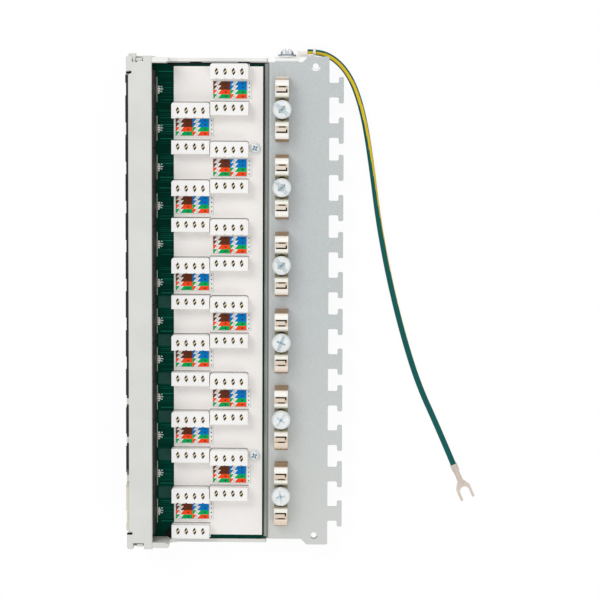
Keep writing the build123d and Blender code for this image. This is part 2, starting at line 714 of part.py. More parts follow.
def standoffs():
    """Four six-sided pillars between the floor and the board, two of them tapped for the screws."""
    height = BOARD_UNDER - SHEET
    pillar = extrude(RegularPolygon(STANDOFF_FLATS / 2, 6, major_radius=False), amount=height)
    pillar -= Pos(0, 0, height / 2) * Cylinder(PLATE_SCREW_RADIUS + HOLE_CLEARANCE, height + OVERRUN)
    places = plate_screw_places()
    places += [(x, FRONT_STANDOFF_DEPTH) for x, _ in plate_screw_places()]
    return Compound([Pos(x, FRONT_Y + depth, SHEET) * pillar for x, depth in places])


def earth_screw():
    """The screw through washer, ring and lug, with its head away from the panel."""
    head = (EARTH_HEAD_RADIUS, EARTH_HEAD_HEIGHT, EARTH_FLANGE)
    one = screw(*head, EARTH_SCREW_RADIUS, EARTH_SCREW_REACH, DRIVE_SLOT)
    return Pos(WASHER_FACE, FRONT_Y + LUG_CENTRE, EARTH_Z) * Rot(0, -90, 0) * one


def earth_washer():
    """A plain washer between the head and the ring."""
    washer = rod_x(WASHER_RADIUS, WASHER_FACE, RING_FACE, LUG_CENTRE, EARTH_Z)
    bore = EARTH_SCREW_RADIUS + HOLE_CLEARANCE
    return washer - rod_x(bore, WASHER_FACE - OVERRUN, RING_FACE + OVERRUN, LUG_CENTRE, EARTH_Z)


def ring_terminal():
    """Ring tongue flat on the lug, crimp barrel, strap and the claws round the wire."""
    ring = rod_x(RING_RADIUS, RING_FACE, LUG_FACE, LUG_CENTRE, EARTH_Z)
    neck = (EARTH_Z - NECK_HALF, EARTH_Z + NECK_HALF)
    ring += block((RING_FACE, LUG_FACE), (LUG_CENTRE, WIRE_EXIT), neck)
    bore_radius = EARTH_SCREW_RADIUS + HOLE_CLEARANCE
    ring -= rod_x(bore_radius, RING_FACE - OVERRUN, LUG_FACE + OVERRUN, LUG_CENTRE, EARTH_Z)
    along = Pos(CRIMP_X, FRONT_Y + (CRIMP_FRONT + WIRE_EXIT) / 2, EARTH_Z) * Rot(90, 0, 0)
    barrel = along * Cylinder(CRIMP_RADIUS, CRIMP_LENGTH)
    grip_centre = WIRE_EXIT + GRIP_SETBACK + GRIP_WIDTH / 2
    grip = Cylinder(GRIP_RADIUS, GRIP_WIDTH) - Cylinder(WIRE_RADIUS + GRIP_FIT, GRIP_WIDTH)
    grip = Pos(WIRE_X, FRONT_Y + grip_centre, EARTH_Z) * Rot(90, 0, 0) * grip
    strap_x = (WIRE_X + WIRE_RADIUS / 2, LUG_FACE)
    strap_z = (EARTH_Z - STRAP_WIDTH / 2, EARTH_Z + STRAP_WIDTH / 2)
    strap_front = LUG_CENTRE + LUG_WIDTH / 2 + SIDE_GAP
    strap = block(strap_x, (strap_front, grip_centre + GRIP_WIDTH / 2), strap_z)
    bore = Pos(WIRE_X, FRONT_Y + WIRE_EXIT + GRIP_SETBACK, EARTH_Z) * Rot(90, 0, 0)
    strap -= bore * Cylinder(WIRE_RADIUS + GRIP_FIT, 2 * GRIP_SETBACK)
    return ring + barrel + strap + grip


def wire_route():
    """All the points of the wire's middle line in space."""
    first = (WIRE_X, WIRE_EXIT, EARTH_Z)
    return [Vector(x, FRONT_Y + depth, z) for x, depth, z in (first, *WIRE_POINTS)]


def wire_path():
    """Straight runs joined by tangent arcs, each as large as its two runs allow."""
    route = wire_route()
    radii = []
    for a, b, c in zip(route, route[1:], route[2:]):
        turn = math.radians((b - a).get_angle(c - b))
        radii.append(ARC_SHARE * min((b - a).length, (c - b).length) / math.tan(turn / 2))
    print("wire radii, diameters:", [round(r / (2 * WIRE_RADIUS), 1) for r in radii])
    return FilletPolyline(*route, radius=radii)


def earth_wire():
    """The insulated lead from the ring terminal to the fork terminal."""
    path = wire_path()
    section = Plane(path @ 0, z_dir=path % 0) * Circle(WIRE_RADIUS)
    wire = sweep(section, path=path)
    expected = math.pi * WIRE_RADIUS ** 2 * path.length
    print("wire length", round(path.length, 1), "volume ratio", round(wire.volume / expected, 4))
    return wire


def fork_plan():
    """The fork's flat sheet along X, from the end of the wire to its tips."""
    half, gap = FORK_WIDTH / 2, FORK_SLOT / 2
    root = FORK_LENGTH - FORK_SLOT_DEPTH
    shoulder = FORK_LENGTH - FORK_PALM
    blade = outline(
        (0, -NECK_HALF), (shoulder, -NECK_HALF), (root, -half), (FORK_LENGTH, -half),
        (FORK_LENGTH, half), (root, half), (shoulder, NECK_HALF), (0, NECK_HALF),
    )
    blade = fillet(corners(blade, (root, -half), (root, half)), gap)
    straight = FORK_LENGTH - root - gap + OVERRUN
    slot = Pos(root + gap, 0) * Circle(gap)
    slot += Pos(root + gap + straight / 2, 0) * Rectangle(straight, FORK_SLOT)
    return blade - slot


def fork_terminal():
    """Fork, crimp barrel and insulation grip, in line with the end of the wire."""
    route = wire_route()
    end, before = route[-1], route[-2]
    turn = math.degrees(math.atan2(end.Y - before.Y, end.X - before.X))
    sheet = Pos(0, 0, -end.Z) * extrude(fork_plan(), amount=FORK_SHEET)
    barrel = Pos(FORK_NECK / 2, 0, 0) * Rot(0, 90, 0) * Cylinder(CRIMP_RADIUS, FORK_NECK)
    grip = Cylinder(GRIP_RADIUS, FORK_GRIP) - Cylinder(WIRE_RADIUS + GRIP_FIT, FORK_GRIP)
    grip = Pos(-FORK_GRIP / 2, 0, 0) * Rot(0, 90, 0) * grip
    collar = Pos(FORK_SHEET / 2, 0, 0) * Rot(0, 90, 0) * Cylinder(GRIP_RADIUS, FORK_SHEET)
    return Pos(end.X, end.Y, end.Z) * Rot(0, 0, turn) * (sheet + barrel + grip + collar)


def write(name, shape):
    """Writes one piece to its file."""
    export_step(shape, f"parts/{name}.step")


def main():
    """Builds every piece of the panel."""
    os.makedirs("parts", exist_ok=True)
    write("chassis", chassis())
    write("front_housing", front_housing())
    write("circuit_board", circuit_board())
    write("cover_plate", cover_plate())
    one_jack = jack()
    for number, x in enumerate(PORTS, start=1):
        write(f"jack_{number:02d}", Pos(x, 0, 0) * one_jack)
    write("front_shield", front_shield())
    write("jack_contacts", jack_contacts())
    strips = {upper: strip(upper) for upper in (True, False)}
    for name, x, depth, upper in strip_places():
        write(name, Pos(x, FRONT_Y + depth, BOARD_TOP) * strips[upper])
    write("strip_contacts", strip_contacts())
    write("colour_cards", colour_cards())
    one_clamp = cable_clamp()
    for number, x in enumerate(CLAMPS, start=1):
        write(f"cable_clamp_{number}", Pos(x, FRONT_Y + CLAMP_DEPTH, BOARD_TOP) * one_clamp)
    write("clamp_screws", clamp_screws())
    write("plate_screws", plate_screws())
    write("standoffs", standoffs())
    write("earth_screw", earth_screw())
    write("earth_washer", earth_washer())
    write("ring_terminal", ring_terminal())
    write("earth_wire", earth_wire())
    write("fork_terminal", fork_terminal())


main()
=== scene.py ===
"""Twelve-port shielded patch panel with its cover off: looks, light and camera.

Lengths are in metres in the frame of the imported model. X runs along the row of ports,
Y from the front face to the rear, Z up.
"""
import json
import math
import random

import bpy
from mathutils import Euler, Matrix, Vector


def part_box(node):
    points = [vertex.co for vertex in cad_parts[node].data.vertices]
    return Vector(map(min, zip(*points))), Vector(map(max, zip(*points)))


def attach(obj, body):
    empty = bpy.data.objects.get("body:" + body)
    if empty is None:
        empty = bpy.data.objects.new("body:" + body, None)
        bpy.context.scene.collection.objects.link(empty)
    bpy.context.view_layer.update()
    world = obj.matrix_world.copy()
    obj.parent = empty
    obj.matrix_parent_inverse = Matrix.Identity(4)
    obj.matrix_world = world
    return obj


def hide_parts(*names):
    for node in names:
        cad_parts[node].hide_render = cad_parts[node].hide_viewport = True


MM = 0.001
SKIN = 0.03 * MM
PORT_COUNT = 12
CLAMP_COUNT = 6

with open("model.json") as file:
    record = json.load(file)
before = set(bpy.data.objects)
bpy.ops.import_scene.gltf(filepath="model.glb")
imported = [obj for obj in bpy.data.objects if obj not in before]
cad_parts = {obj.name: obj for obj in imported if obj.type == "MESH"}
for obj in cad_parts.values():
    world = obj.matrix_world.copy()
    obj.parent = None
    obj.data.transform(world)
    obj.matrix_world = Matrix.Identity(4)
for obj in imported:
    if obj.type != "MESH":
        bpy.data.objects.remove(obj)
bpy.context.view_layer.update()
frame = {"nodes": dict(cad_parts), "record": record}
nodes = frame["nodes"]
random.seed(7)

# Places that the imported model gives
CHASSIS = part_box("chassis")
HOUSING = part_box("front_housing")
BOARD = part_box("circuit_board")
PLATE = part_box("cover_plate")
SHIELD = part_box("front_shield")
FIRST_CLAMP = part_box("cable_clamp_1")
JACK_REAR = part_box("jack_01")[1].y
PORT_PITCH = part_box("jack_02")[0].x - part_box("jack_01")[0].x
CLAMP_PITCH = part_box("cable_clamp_2")[0].x - FIRST_CLAMP[0].x
EARS = next(mount for mount in frame["record"]["mounts"] if mount["name"] == "ears")


# Camera. The focal length and the shift are in pixels of the photograph's frame.
PHOTO_SIZE = 600
FOCAL_PIXELS = 1918
SHIFT_PIXELS = 60
SENSOR = 36.0
CAMERA_PLACE = (-0.1023, 0.0736, 1.0025)
CAMERA_TURN = (-1.24, -4.02, 0.31)
CAMERA_CLIP = (0.05, 20)


def add_camera():
    """A long lens from straight above, leaning a little, with the photograph's shift."""
    data = bpy.data.cameras.new("camera")
    data.lens = SENSOR * FOCAL_PIXELS / PHOTO_SIZE
    data.sensor_width = SENSOR
    data.shift_y = -SHIFT_PIXELS / PHOTO_SIZE
    data.clip_start = CAMERA_CLIP[0]
    data.clip_end = CAMERA_CLIP[1]
    camera = bpy.data.objects.new("camera", data)
    lean = Euler([math.radians(a) for a in CAMERA_TURN], "XYZ").to_matrix()
    upright = Matrix.Rotation(math.radians(90), 3, "Z")
    camera.matrix_world = Matrix.Translation(CAMERA_PLACE) @ (lean @ upright).to_4x4()
    bpy.context.scene.collection.objects.link(camera)
    bpy.context.scene.camera = camera


add_camera()


# Meshes
def add_mesh(name, vertices, faces, looks, smooth=False):
    """A mesh object that rides on the root body, with one material to a face."""
    mesh = bpy.data.meshes.new(name)
    mesh.from_pydata([tuple(v) for v in vertices], [], faces)
    materials = list(dict.fromkeys(looks))
    for material in materials:
        mesh.materials.append(material)
    for face, look in zip(mesh.polygons, looks):
        face.material_index = materials.index(look)
        face.use_smooth = smooth
    mesh.update()
    piece = bpy.data.objects.new(name, mesh)
    bpy.context.scene.collection.objects.link(piece)
    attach(piece, "root")
    return piece


class Patches:
    """Flat coloured patches and low slabs gathered into one mesh."""

    def __init__(self):
        self.vertices = []
        self.faces = []
        self.looks = []

    def polygon(self, corners, z, look):
        """A flat polygon at one height."""
        start = len(self.vertices)
        self.vertices += [(x, y, z) for x, y in corners]
        self.faces.append(tuple(range(start, start + len(corners))))
        self.looks.append(look)

    def rectangle(self, x, y, z, look):
        """A flat rectangle between two X and two Y values."""
        self.polygon([(x[0], y[0]), (x[1], y[0]), (x[1], y[1]), (x[0], y[1])], z, look)

    def slab(self, x, y, z, look):
        """A closed box between two X, Y and Z values."""
        start = len(self.vertices)
        for height in z:
            self.vertices += [(x[0], y[0], height), (x[1], y[0], height)]
            self.vertices += [(x[1], y[1], height), (x[0], y[1], height)]
        sides = [(0, 3, 2, 1), (4, 5, 6, 7), (0, 1, 5, 4), (1, 2, 6, 5), (2, 3, 7, 6), (3, 0, 4, 7)]
        self.faces += [tuple(start + i for i in side) for side in sides]
        self.looks += [look] * len(sides)

    def build(self, name):
        """Makes the object."""
        return add_mesh(name, self.vertices, self.faces, self.looks)


def turned(points, centre, angle):
    """Points about a centre, turned by an angle in degrees."""
    c, d = math.cos(math.radians(angle)), math.sin(math.radians(angle))
    return [(centre[0] + c * x - d * y, centre[1] + d * x + c * y) for x, y in points]


def bar(length, width, offset=0.0):
    """Corners of a bar along X, moved sideways."""
    half, low, high = length / 2, offset - width / 2, offset + width / 2
    return [(-half, low), (half, low), (half, high), (-half, high)]


def middle_of(box):
    """The middle of a box in plan."""
    return (box[0].x + box[1].x) / 2, (box[0].y + box[1].y) / 2


# Shader helpers. A noise is read between these two values.
NOISE_LOW, NOISE_HIGH = 0.3, 0.7


class Shader:
    """A principled material whose nodes are added by short calls."""

    def __init__(self, name, color, roughness, metallic=0.0, specular=0.5):
        self.material = bpy.data.materials.new(name)
        self.material.use_nodes = True
        self.tree = self.material.node_tree
        self.bsdf = self.tree.nodes["Principled BSDF"]
        self.bsdf.inputs["Base Color"].default_value = (*color, 1)
        self.bsdf.inputs["Roughness"].default_value = roughness
        self.bsdf.inputs["Metallic"].default_value = metallic
        self.bsdf.inputs["Specular IOR Level"].default_value = specular
        self.material.diffuse_color = (*color, 1)
        self.place = self.tree.nodes.new("ShaderNodeTexCoord").outputs["Object"]

    def noise(self, scale, detail=3.0, stretch=(1, 1, 1)):
        """Noise in object space, with a scale given as features to a metre."""
        mapping = self.tree.nodes.new("ShaderNodeMapping")
        mapping.inputs["Scale"].default_value = stretch
        self.tree.links.new(self.place, mapping.inputs["Vector"])
        node = self.tree.nodes.new("ShaderNodeTexNoise")
        node.inputs["Scale"].default_value = scale
        node.inputs["Detail"].default_value = detail
        self.tree.links.new(mapping.outputs["Vector"], node.inputs["Vector"])
        return node.outputs["Fac"]

    def cells(self, scale):
        """Random value for each cell of a broken-up surface."""
        node = self.tree.nodes.new("ShaderNodeTexVoronoi")
        node.inputs["Scale"].default_value = scale
        self.tree.links.new(self.place, node.inputs["Vector"])
        split = self.tree.nodes.new("ShaderNodeSeparateColor")
        self.tree.links.new(node.outputs["Color"], split.inputs["Color"])
        return split.outputs["Red"]

    def axis(self, name):
        """One object-space coordinate in metres."""
        split = self.tree.nodes.new("ShaderNodeSeparateXYZ")
        self.tree.links.new(self.place, split.inputs[0])
        return split.outputs[name]

    def calculate(self, operation, first, second):
        """A value worked out from a link and a number, or from two links."""
        node = self.tree.nodes.new("ShaderNodeMath")
        node.operation = operation
        self.tree.links.new(first, node.inputs[0])
        if isinstance(second, (int, float)):
            node.inputs[1].default_value = second
        else:
            self.tree.links.new(second, node.inputs[1])
        return node.outputs[0]

    def span(self, source, low, high):
        """A value carried from two limits to zero and one."""
        node = self.tree.nodes.new("ShaderNodeMapRange")
        node.inputs["From Min"].default_value = low
        node.inputs["From Max"].default_value = high
        self.tree.links.new(source, node.inputs["Value"])
        return node.outputs["Result"]

    def past(self, axis, edge, run):
        """Zero before a place on an axis and one after it, by a short run in either direction."""
        return self.span(self.axis(axis), edge, edge + run)

    def within(self, source, limits, run):
        """One between two limits and zero outside them, with a short run inside each."""
        low, high = limits
        rise = self.span(source, low, low + run)
        fall = self.span(source, high, high - run)
        return self.product(rise, fall)

    def product(self, first, second):
        """Two values multiplied."""
        return self.calculate("MULTIPLY", first, second)

    def repeat(self, source, offset, half):
        """Distance from the nearest of evenly spaced centres, as a share of half their pitch."""
        folded = self.calculate("PINGPONG", self.calculate("ADD", source, offset), half)
        return self.span(folded, 0, half)

    def wrapped(self, source, offset, pitch):
        """Place within one of evenly spaced stretches, from zero to the pitch."""
        place = self.calculate("WRAP", self.calculate("ADD", source, offset), pitch)
        place.node.inputs[2].default_value = 0.0
        return place

    def ramp(self, source, stops):
        """Colour ramp from a list of (position, colour)."""
        node = self.tree.nodes.new("ShaderNodeValToRGB")
        ramp = node.color_ramp
        ramp.elements[0].position, ramp.elements[0].color = stops[0][0], (*stops[0][1], 1)
        ramp.elements[1].position, ramp.elements[1].color = stops[-1][0], (*stops[-1][1], 1)
        for position, color in stops[1:-1]:
            ramp.elements.new(position).color = (*color, 1)
        self.tree.links.new(source, node.inputs["Fac"])
        return node.outputs["Color"]

    def paint(self, color):
        """Base colour from a link, in place of any earlier one."""
        self.tree.links.new(color, self.bsdf.inputs["Base Color"])
        return color

    def tint(self, source, low, high):
        """Base colour that moves between two colours with a value."""
        return self.paint(self.ramp(source, [(NOISE_LOW, low), (NOISE_HIGH, high)]))

    def mix(self, share, low, high):
        """Base colour between a link and a colour, by a share."""
        node = self.tree.nodes.new("ShaderNodeMix")
        node.data_type = "RGBA"
        self.tree.links.new(share, node.inputs["Factor"])
        self.tree.links.new(low, node.inputs["A"])
        node.inputs["B"].default_value = (*high, 1)
        return self.paint(node.outputs["Result"])

    def rough(self, source, low, high):
        """Roughness that moves between two limits with a value."""
        node = self.tree.nodes.new("ShaderNodeMapRange")
        node.inputs["From Min"].default_value = NOISE_LOW
        node.inputs["From Max"].default_value = NOISE_HIGH
        node.inputs["To Min"].default_value = low
        node.inputs["To Max"].default_value = high
        self.tree.links.new(source, node.inputs["Value"])
        self.tree.links.new(node.outputs["Result"], self.bsdf.inputs["Roughness"])

    def bump(self, source, height):
        """Bump from a value, with the height in metres."""
        node = self.tree.nodes.new("ShaderNodeBump")
        node.inputs["Distance"].default_value = height
        self.tree.links.new(source, node.inputs["Height"])
        self.tree.links.new(node.outputs["Normal"], self.bsdf.inputs["Normal"])


def scaled(color, factor):
    """A colour made lighter or darker."""
    return tuple(min(1.0, c * factor) for c in color)


# Materials. Noise scales are in features to a metre.
TONE_SCALE = 60
GLOSS_SCALE = 300
METAL_TONE_SCALE = 250
METAL_GRAIN = 600
SPANGLE_SCALE = 1300
ROLLED = (0.15, 1, 1)
DRAWN = (0.2, 1, 1)


def moulded(name, color, roughness, grain=900, depth=0.02 * MM, spread=0.04, specular=0.5):
    """The shader and the tone of a plastic with a fine grain and a slight change of tone."""
    shader = Shader(name, color, roughness, specular=specular)
    tone = shader.tint(
        shader.noise(TONE_SCALE, 4), scaled(color, 1 - spread), scaled(color, 1 + spread / 2)
    )
    shader.rough(shader.noise(GLOSS_SCALE, 2), roughness - 0.06, roughness + 0.06)
    shader.bump(shader.noise(grain, 2), depth)
    return shader, tone


def plastic(name, color, roughness, **surface):
    """Moulded plastic of one colour."""
    shader, _ = moulded(name, color, roughness, **surface)
    return shader.material


# Painted highlight: the side wall next to the earth lug is painted brighter where the light falls on it.
HEAD_REAR = HOUSING[0].y + 12.8 * MM
SIDE_WALL_HIGHLIGHT_RUNS = (-0.5 * MM, 1.0 * MM)
SIDE_WALL_HIGHLIGHT = (0.87, 0.87, 0.84)


def housing():
    """Light-grey moulding, with a painted highlight along the side wall next to the earth lug."""
    shader, tone = moulded("housing_plastic", (0.708, 0.716, 0.68), 0.5)
    outside = shader.past("X", BOARD[0].x, SIDE_WALL_HIGHLIGHT_RUNS[0])
    behind = shader.past("Y", HEAD_REAR, SIDE_WALL_HIGHLIGHT_RUNS[1])
    shader.mix(shader.product(outside, behind), tone, SIDE_WALL_HIGHLIGHT)
    return shader.material


ZINC = (0.51, 0.54, 0.545)
WARM_ZINC = (0.61, 0.62, 0.58)
# Painted highlight on the bend of the sheet over the earth lug.
LUG_FOLD_HIGHLIGHT = (0.84, 0.84, 0.82)
WARM_END_X = (0.0, 0.2)
LUG_FOLD = CHASSIS[0].x + 2.6 * MM
LUG_REAR = 53.8 * MM
LUG_HIGHLIGHT_RUNS = (-0.8 * MM, -0.6 * MM)


def galvanised():
    """Zinc-coated sheet with small spangle and faint rolling lines, a little warmer at the far end, with
    a painted highlight on the bend over the earth lug.
    """
    shader = Shader("galvanised", ZINC, 0.5, metallic=0.6)
    spangle = shader.tint(shader.cells(SPANGLE_SCALE), scaled(ZINC, 0.97), scaled(ZINC, 1.02))
    far_end = shader.span(shader.axis("X"), *WARM_END_X)
    sheet = shader.mix(far_end, spangle, WARM_ZINC)
    lug_highlight = shader.product(
        shader.past("X", LUG_FOLD, LUG_HIGHLIGHT_RUNS[0]), shader.past("Y", LUG_REAR, LUG_HIGHLIGHT_RUNS[1])
    )
    shader.mix(lug_highlight, sheet, LUG_FOLD_HIGHLIGHT)
    shader.rough(shader.noise(900), 0.47, 0.53)
    shader.bump(shader.noise(1500, 2, ROLLED), 0.002 * MM)
    return shader.material


# Clamps. The painted light and shade run from the middle of a clamp (0) to halfway between two clamps
# (1).
FIRST_CLAMP_X = middle_of(FIRST_CLAMP)[0]
FIRST_LIP = FIRST_CLAMP[0].x + 1.2 * MM
FIRST_LIP_RUN = -0.4 * MM
# Painted highlight on the end lip of the first clamp.
FIRST_LIP_HIGHLIGHT = (0.8, 0.73, 0.62)
FAR_CLAMPS_X = (-0.04, 0.06)
SHOULDER = (32.3 * MM, 35.25 * MM)
SHOULDER_RUN = 0.1 * MM
# Painted shade: the shoulders and tongues of the far clamps are painted duller than those of the near
# ones.
FAR_SHOULDER_SHADE = (0.8, 0.66, 0.53)
TONGUE_SHARES = (0.43, 0.61)
TONGUE_RUN = 0.01
FAR_TONGUE_SHADE = (0.74, 0.61, 0.49)
# Painted light and shade along a clamp: highlights on the shoulders, shade in the valley, brown at the
# feet.
CLAMP_LIGHT_AND_SHADE = (
    (0.0, (0.55, 0.5, 0.38)), (0.15, (0.4, 0.35, 0.24)), (0.23, (0.2, 0.17, 0.1)),
    (0.3, (0.34, 0.3, 0.2)), (0.33, (0.9, 0.88, 0.79)), (0.425, (0.9, 0.87, 0.79)),
    (0.44, (0.78, 0.7, 0.6)), (0.6, (0.78, 0.7, 0.6)), (0.62, (0.94, 0.92, 0.88)),
    (0.745, (0.94, 0.91, 0.86)), (0.765, (0.46, 0.33, 0.22)), (0.84, (0.38, 0.26, 0.16)),
)


def clamp_metal():
    """Passivated spring sheet with painted light and shade: painted highlights on the shoulders and the
    first lip, painted shade in the olive valley, brown at the feet, painted duller shoulders and tongues
    on the far clamps.
    """
    shader = Shader("clamp_metal", (0.84, 0.76, 0.64), 0.3, metallic=0.35)
    place = shader.repeat(shader.axis("X"), -FIRST_CLAMP_X, CLAMP_PITCH / 2)
    first_lip_lit = shader.past("X", FIRST_LIP, FIRST_LIP_RUN)
    color = shader.mix(first_lip_lit, shader.ramp(place, CLAMP_LIGHT_AND_SHADE), FIRST_LIP_HIGHLIGHT)
    far_end = shader.span(shader.axis("X"), *FAR_CLAMPS_X)
    along = shader.wrapped(shader.axis("X"), CLAMP_PITCH / 2 - FIRST_CLAMP_X, CLAMP_PITCH)
    shoulder = shader.within(along, SHOULDER, SHOULDER_RUN)
    color = shader.mix(shader.product(shoulder, far_end), color, FAR_SHOULDER_SHADE)
    tongues = shader.within(place, TONGUE_SHARES, TONGUE_RUN)
    shader.mix(shader.product(tongues, far_end), color, FAR_TONGUE_SHADE)
    shader.rough(shader.noise(700, 3, DRAWN), 0.25, 0.38)
    shader.bump(shader.noise(2000, 2, DRAWN), 0.004 * MM)
    return shader.material


SHIELD_FACE = (0.47, 0.465, 0.445)
SHIELD_SHEET = 0.5 * MM
LIP_EDGE_RUN = 0.1 * MM
LIP_CHANGE_X = (0.085, 0.096)
# Painted reflection on the lip: dark along most of the row, pale towards one end.
LIP_DARK_REFLECTION = (0.012, 0.011, 0.009)
LIP_PALE_REFLECTION = (0.68, 0.64, 0.52)


def shield():
    """Plated sheet of the jack front, whose lip carries a painted reflection: dark except at one end of
    the row, where it is pale.
    """
    shader = Shader("shield_metal", SHIELD_FACE, 0.35, metallic=0.4)
    lip_end = shader.span(shader.axis("X"), *LIP_CHANGE_X)
    lip = shader.ramp(lip_end, [(0.0, LIP_DARK_REFLECTION), (1.0, LIP_PALE_REFLECTION)])
    underside = SHIELD[1].z - SHIELD_SHEET
    below_lip = shader.past("Z", underside + LIP_EDGE_RUN, -2 * LIP_EDGE_RUN)
    shader.mix(below_lip, lip, SHIELD_FACE)
    shader.rough(shader.noise(500), 0.32, 0.45)
    shader.bump(shader.noise(2000, 2), 0.006 * MM)
    return shader.material


def bare_metal(name, color, roughness, metallic=1.0):
    """Plated metal with fine marks from forming."""
    shader = Shader(name, color, roughness, metallic)
    shader.tint(shader.noise(METAL_TONE_SCALE, 4), scaled(color, 0.9), scaled(color, 1.06))
    shader.rough(shader.noise(METAL_GRAIN), roughness - 0.07, roughness + 0.1)
    shader.bump(shader.noise(METAL_GRAIN * 3, 2), 0.008 * MM)
    return shader.material


# Painted reflection: dark and light bands across the earth screw's head.
PAINTED_REFLECTION_BANDS = (
    (0.0, (0.9, 0.93, 0.96)), (0.16, (0.3, 0.37, 0.45)), (0.3, (0.9, 0.92, 0.95)),
    (0.62, (0.75, 0.8, 0.84)), (0.76, (0.07, 0.1, 0.15)), (0.9, (0.55, 0.6, 0.66)),
)


def mirror_screw():
    """Bright screw with painted reflections: dark and light bands from the middle of its head to the
    rim.
    """
    low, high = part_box("earth_screw")
    shader = Shader("screw_bright", (0.6, 0.65, 0.7), 0.25, metallic=0.5)
    place = shader.repeat(shader.axis("Y"), -(low.y + high.y) / 2, (high.y - low.y) / 2)
    shader.paint(shader.ramp(place, PAINTED_REFLECTION_BANDS))
    shader.rough(shader.noise(900), 0.18, 0.3)
    return shader.material


# Painted sheen: the board is painted paler towards the end where the light glances off the mask.
BOARD_SHEEN_X = (-0.09, 0.06)
BOARD_DARK = (0.0, 0.038, 0.024)
BOARD_SHEEN = (0.0, 0.048, 0.032)


def solder_mask():
    """Dark green board with a painted sheen that makes it a little paler towards one end, and the faint
    weave of its glass cloth.
    """
    shader = Shader("solder_mask", (0.002, 0.038, 0.019), 0.4, specular=0.02)
    along = shader.span(shader.axis("X"), *BOARD_SHEEN_X)
    shader.paint(shader.ramp(along, [(0.0, BOARD_DARK), (1.0, BOARD_SHEEN)]))
    shader.rough(shader.noise(400, 4), 0.25, 0.35)
    shader.bump(shader.noise(2500, 1), 0.005 * MM)
    return shader.material


def printed(name, color):
    """Ink or paint, slightly uneven."""
    shader = Shader(name, color, 0.6, specular=0.08)
    shader.tint(shader.noise(1500, 4), scaled(color, 0.93), scaled(color, 1.04))
    shader.bump(shader.noise(3000, 2), 0.005 * MM)
    return shader.material


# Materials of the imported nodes
housing_mat = housing()
plate_mat = plastic("plate_plastic", (0.9, 0.865, 0.84), 0.55)
strip_mat = plastic("strip_plastic", (0.93, 0.92, 0.9), 0.4, grain=1200, depth=0.015 * MM)
jack_mat = plastic(
    "jack_plastic", (0.026, 0.024, 0.023), 0.5, grain=1600, depth=0.04 * MM, specular=0.25,
)
zinc_mat = galvanised()
board_mat = solder_mask()
shield_mat = shield()
contact_mat = bare_metal("contact_metal", (0.78, 0.66, 0.42), 0.25)
clamp_mat = clamp_metal()
screw_mat = bare_metal("screw_zinc", (0.8, 0.835, 0.84), 0.35, metallic=0.35)
brass_mat = bare_metal("pillar_brass", (0.7, 0.55, 0.28), 0.3)
tin_mat = bare_metal("terminal_tin", (0.63, 0.55, 0.48), 0.35, metallic=0.6)
pale_tin_mat = bare_metal("terminal_pale", (0.9, 0.87, 0.82), 0.4, metallic=0.2)
bright_mat = mirror_screw()
# Painted shade: the washer is painted dark for the shade between the screw head and the lug.
washer_shade_mat = bare_metal("washer_painted_shade", (0.2, 0.24, 0.28), 0.4, metallic=0.5)

# Materials of the wire
WIRE_SURFACE = {"grain": 1500, "depth": 0.006 * MM, "specular": 0.15}
green_mat = plastic("wire_green", (0.001, 0.1, 0.092), 0.45, spread=0.08, **WIRE_SURFACE)
yellow_mat = plastic("wire_yellow", (0.76, 0.56, 0.02), 0.45, spread=0.06, **WIRE_SURFACE)

# Inks of the colour cards
white_ink = printed("card_white", (0.88, 0.87, 0.84))
grey_ink = printed("card_grey", (0.6, 0.6, 0.58))
dark_ink = printed("card_dark", (0.03, 0.03, 0.035))
brown_ink = printed("card_brown", (0.147, 0.036, 0.014))
blue_ink = printed("card_blue", (0.0, 0.205, 0.61))
orange_ink = printed("card_orange", (1.0, 0.075, 0.013))
green_ink = printed("card_green", (0.0, 0.42, 0.105))

# Conductors, joints and marks of the board
trace_mat = printed("trace_green", (0.001, 0.1, 0.055))
trace_light = printed("trace_light", (0.006, 0.165, 0.098))
silk_mat = printed("silk_grey", (0.45, 0.5, 0.46))
# Plain mask between the later ports, painted paler as a sheen.
panel_sheen_mat = printed("panel_grey_green_sheen", (0.024, 0.1, 0.078))
mark_mat = printed("mark_pale", (0.8, 0.92, 0.9))
pad_mat = bare_metal("solder_pad", (0.95, 0.9, 0.78), 0.35, metallic=0.3)

# Painted shades, lights and glints of the screw drives
# Painted shade along the edges of the slots.
drive_edge_shade = printed("recess_edge_shade", (0.4, 0.47, 0.5))
# Painted light on the slot floors, and a painted glint on the plate screws.
pale_drive_light = printed("drive_pale_light", (0.72, 0.8, 0.84))
# Painted light that fills the slots of the last drives.
white_drive_light = printed("white_drive_light", (0.96, 0.99, 1.0))
drive_glint = printed("drive_glint", (0.16, 0.42, 0.55))
# Painted shade of the cross recesses on the plate screws.
drive_recess_shade = printed("drive_recess_shade", (0.16, 0.25, 0.34))
drive_shade = printed("drive_shade", (0.42, 0.48, 0.49))

# Painted shades and lights under the clamps, in the strips and along edges
# Painted shade and painted light laid under the clamps' cuts.
brown_slit_shade = printed("slit_brown_shade", (0.13, 0.085, 0.055))
dark_slit_shade = printed("slit_dark_shade", (0.014, 0.01, 0.008))
slit_glint = printed("slit_glint", (0.9, 0.79, 0.66))
valley_shade = printed("valley_shade", (0.075, 0.062, 0.035))
blade_mat = bare_metal("blade_edge", (0.82, 0.7, 0.47), 0.3, metallic=0.4)
pocket_mat = printed("pocket_shade", (0.085, 0.058, 0.034))
edge_mat = printed("board_edge_shade", (0.008, 0.01, 0.009))
# A grey strip of painted shade for the gap behind the board.
gap_shade_mat = printed("gap_shade_strip", (0.62, 0.62, 0.57))
window_mat = printed("window_shade", (0.05, 0.048, 0.045))
# Painted highlight crescent beside an ear hole.
rim_highlight = printed("hole_rim", (0.93, 0.93, 0.92))
rim_shade = printed("hole_rim_shade", (0.2, 0.2, 0.17))
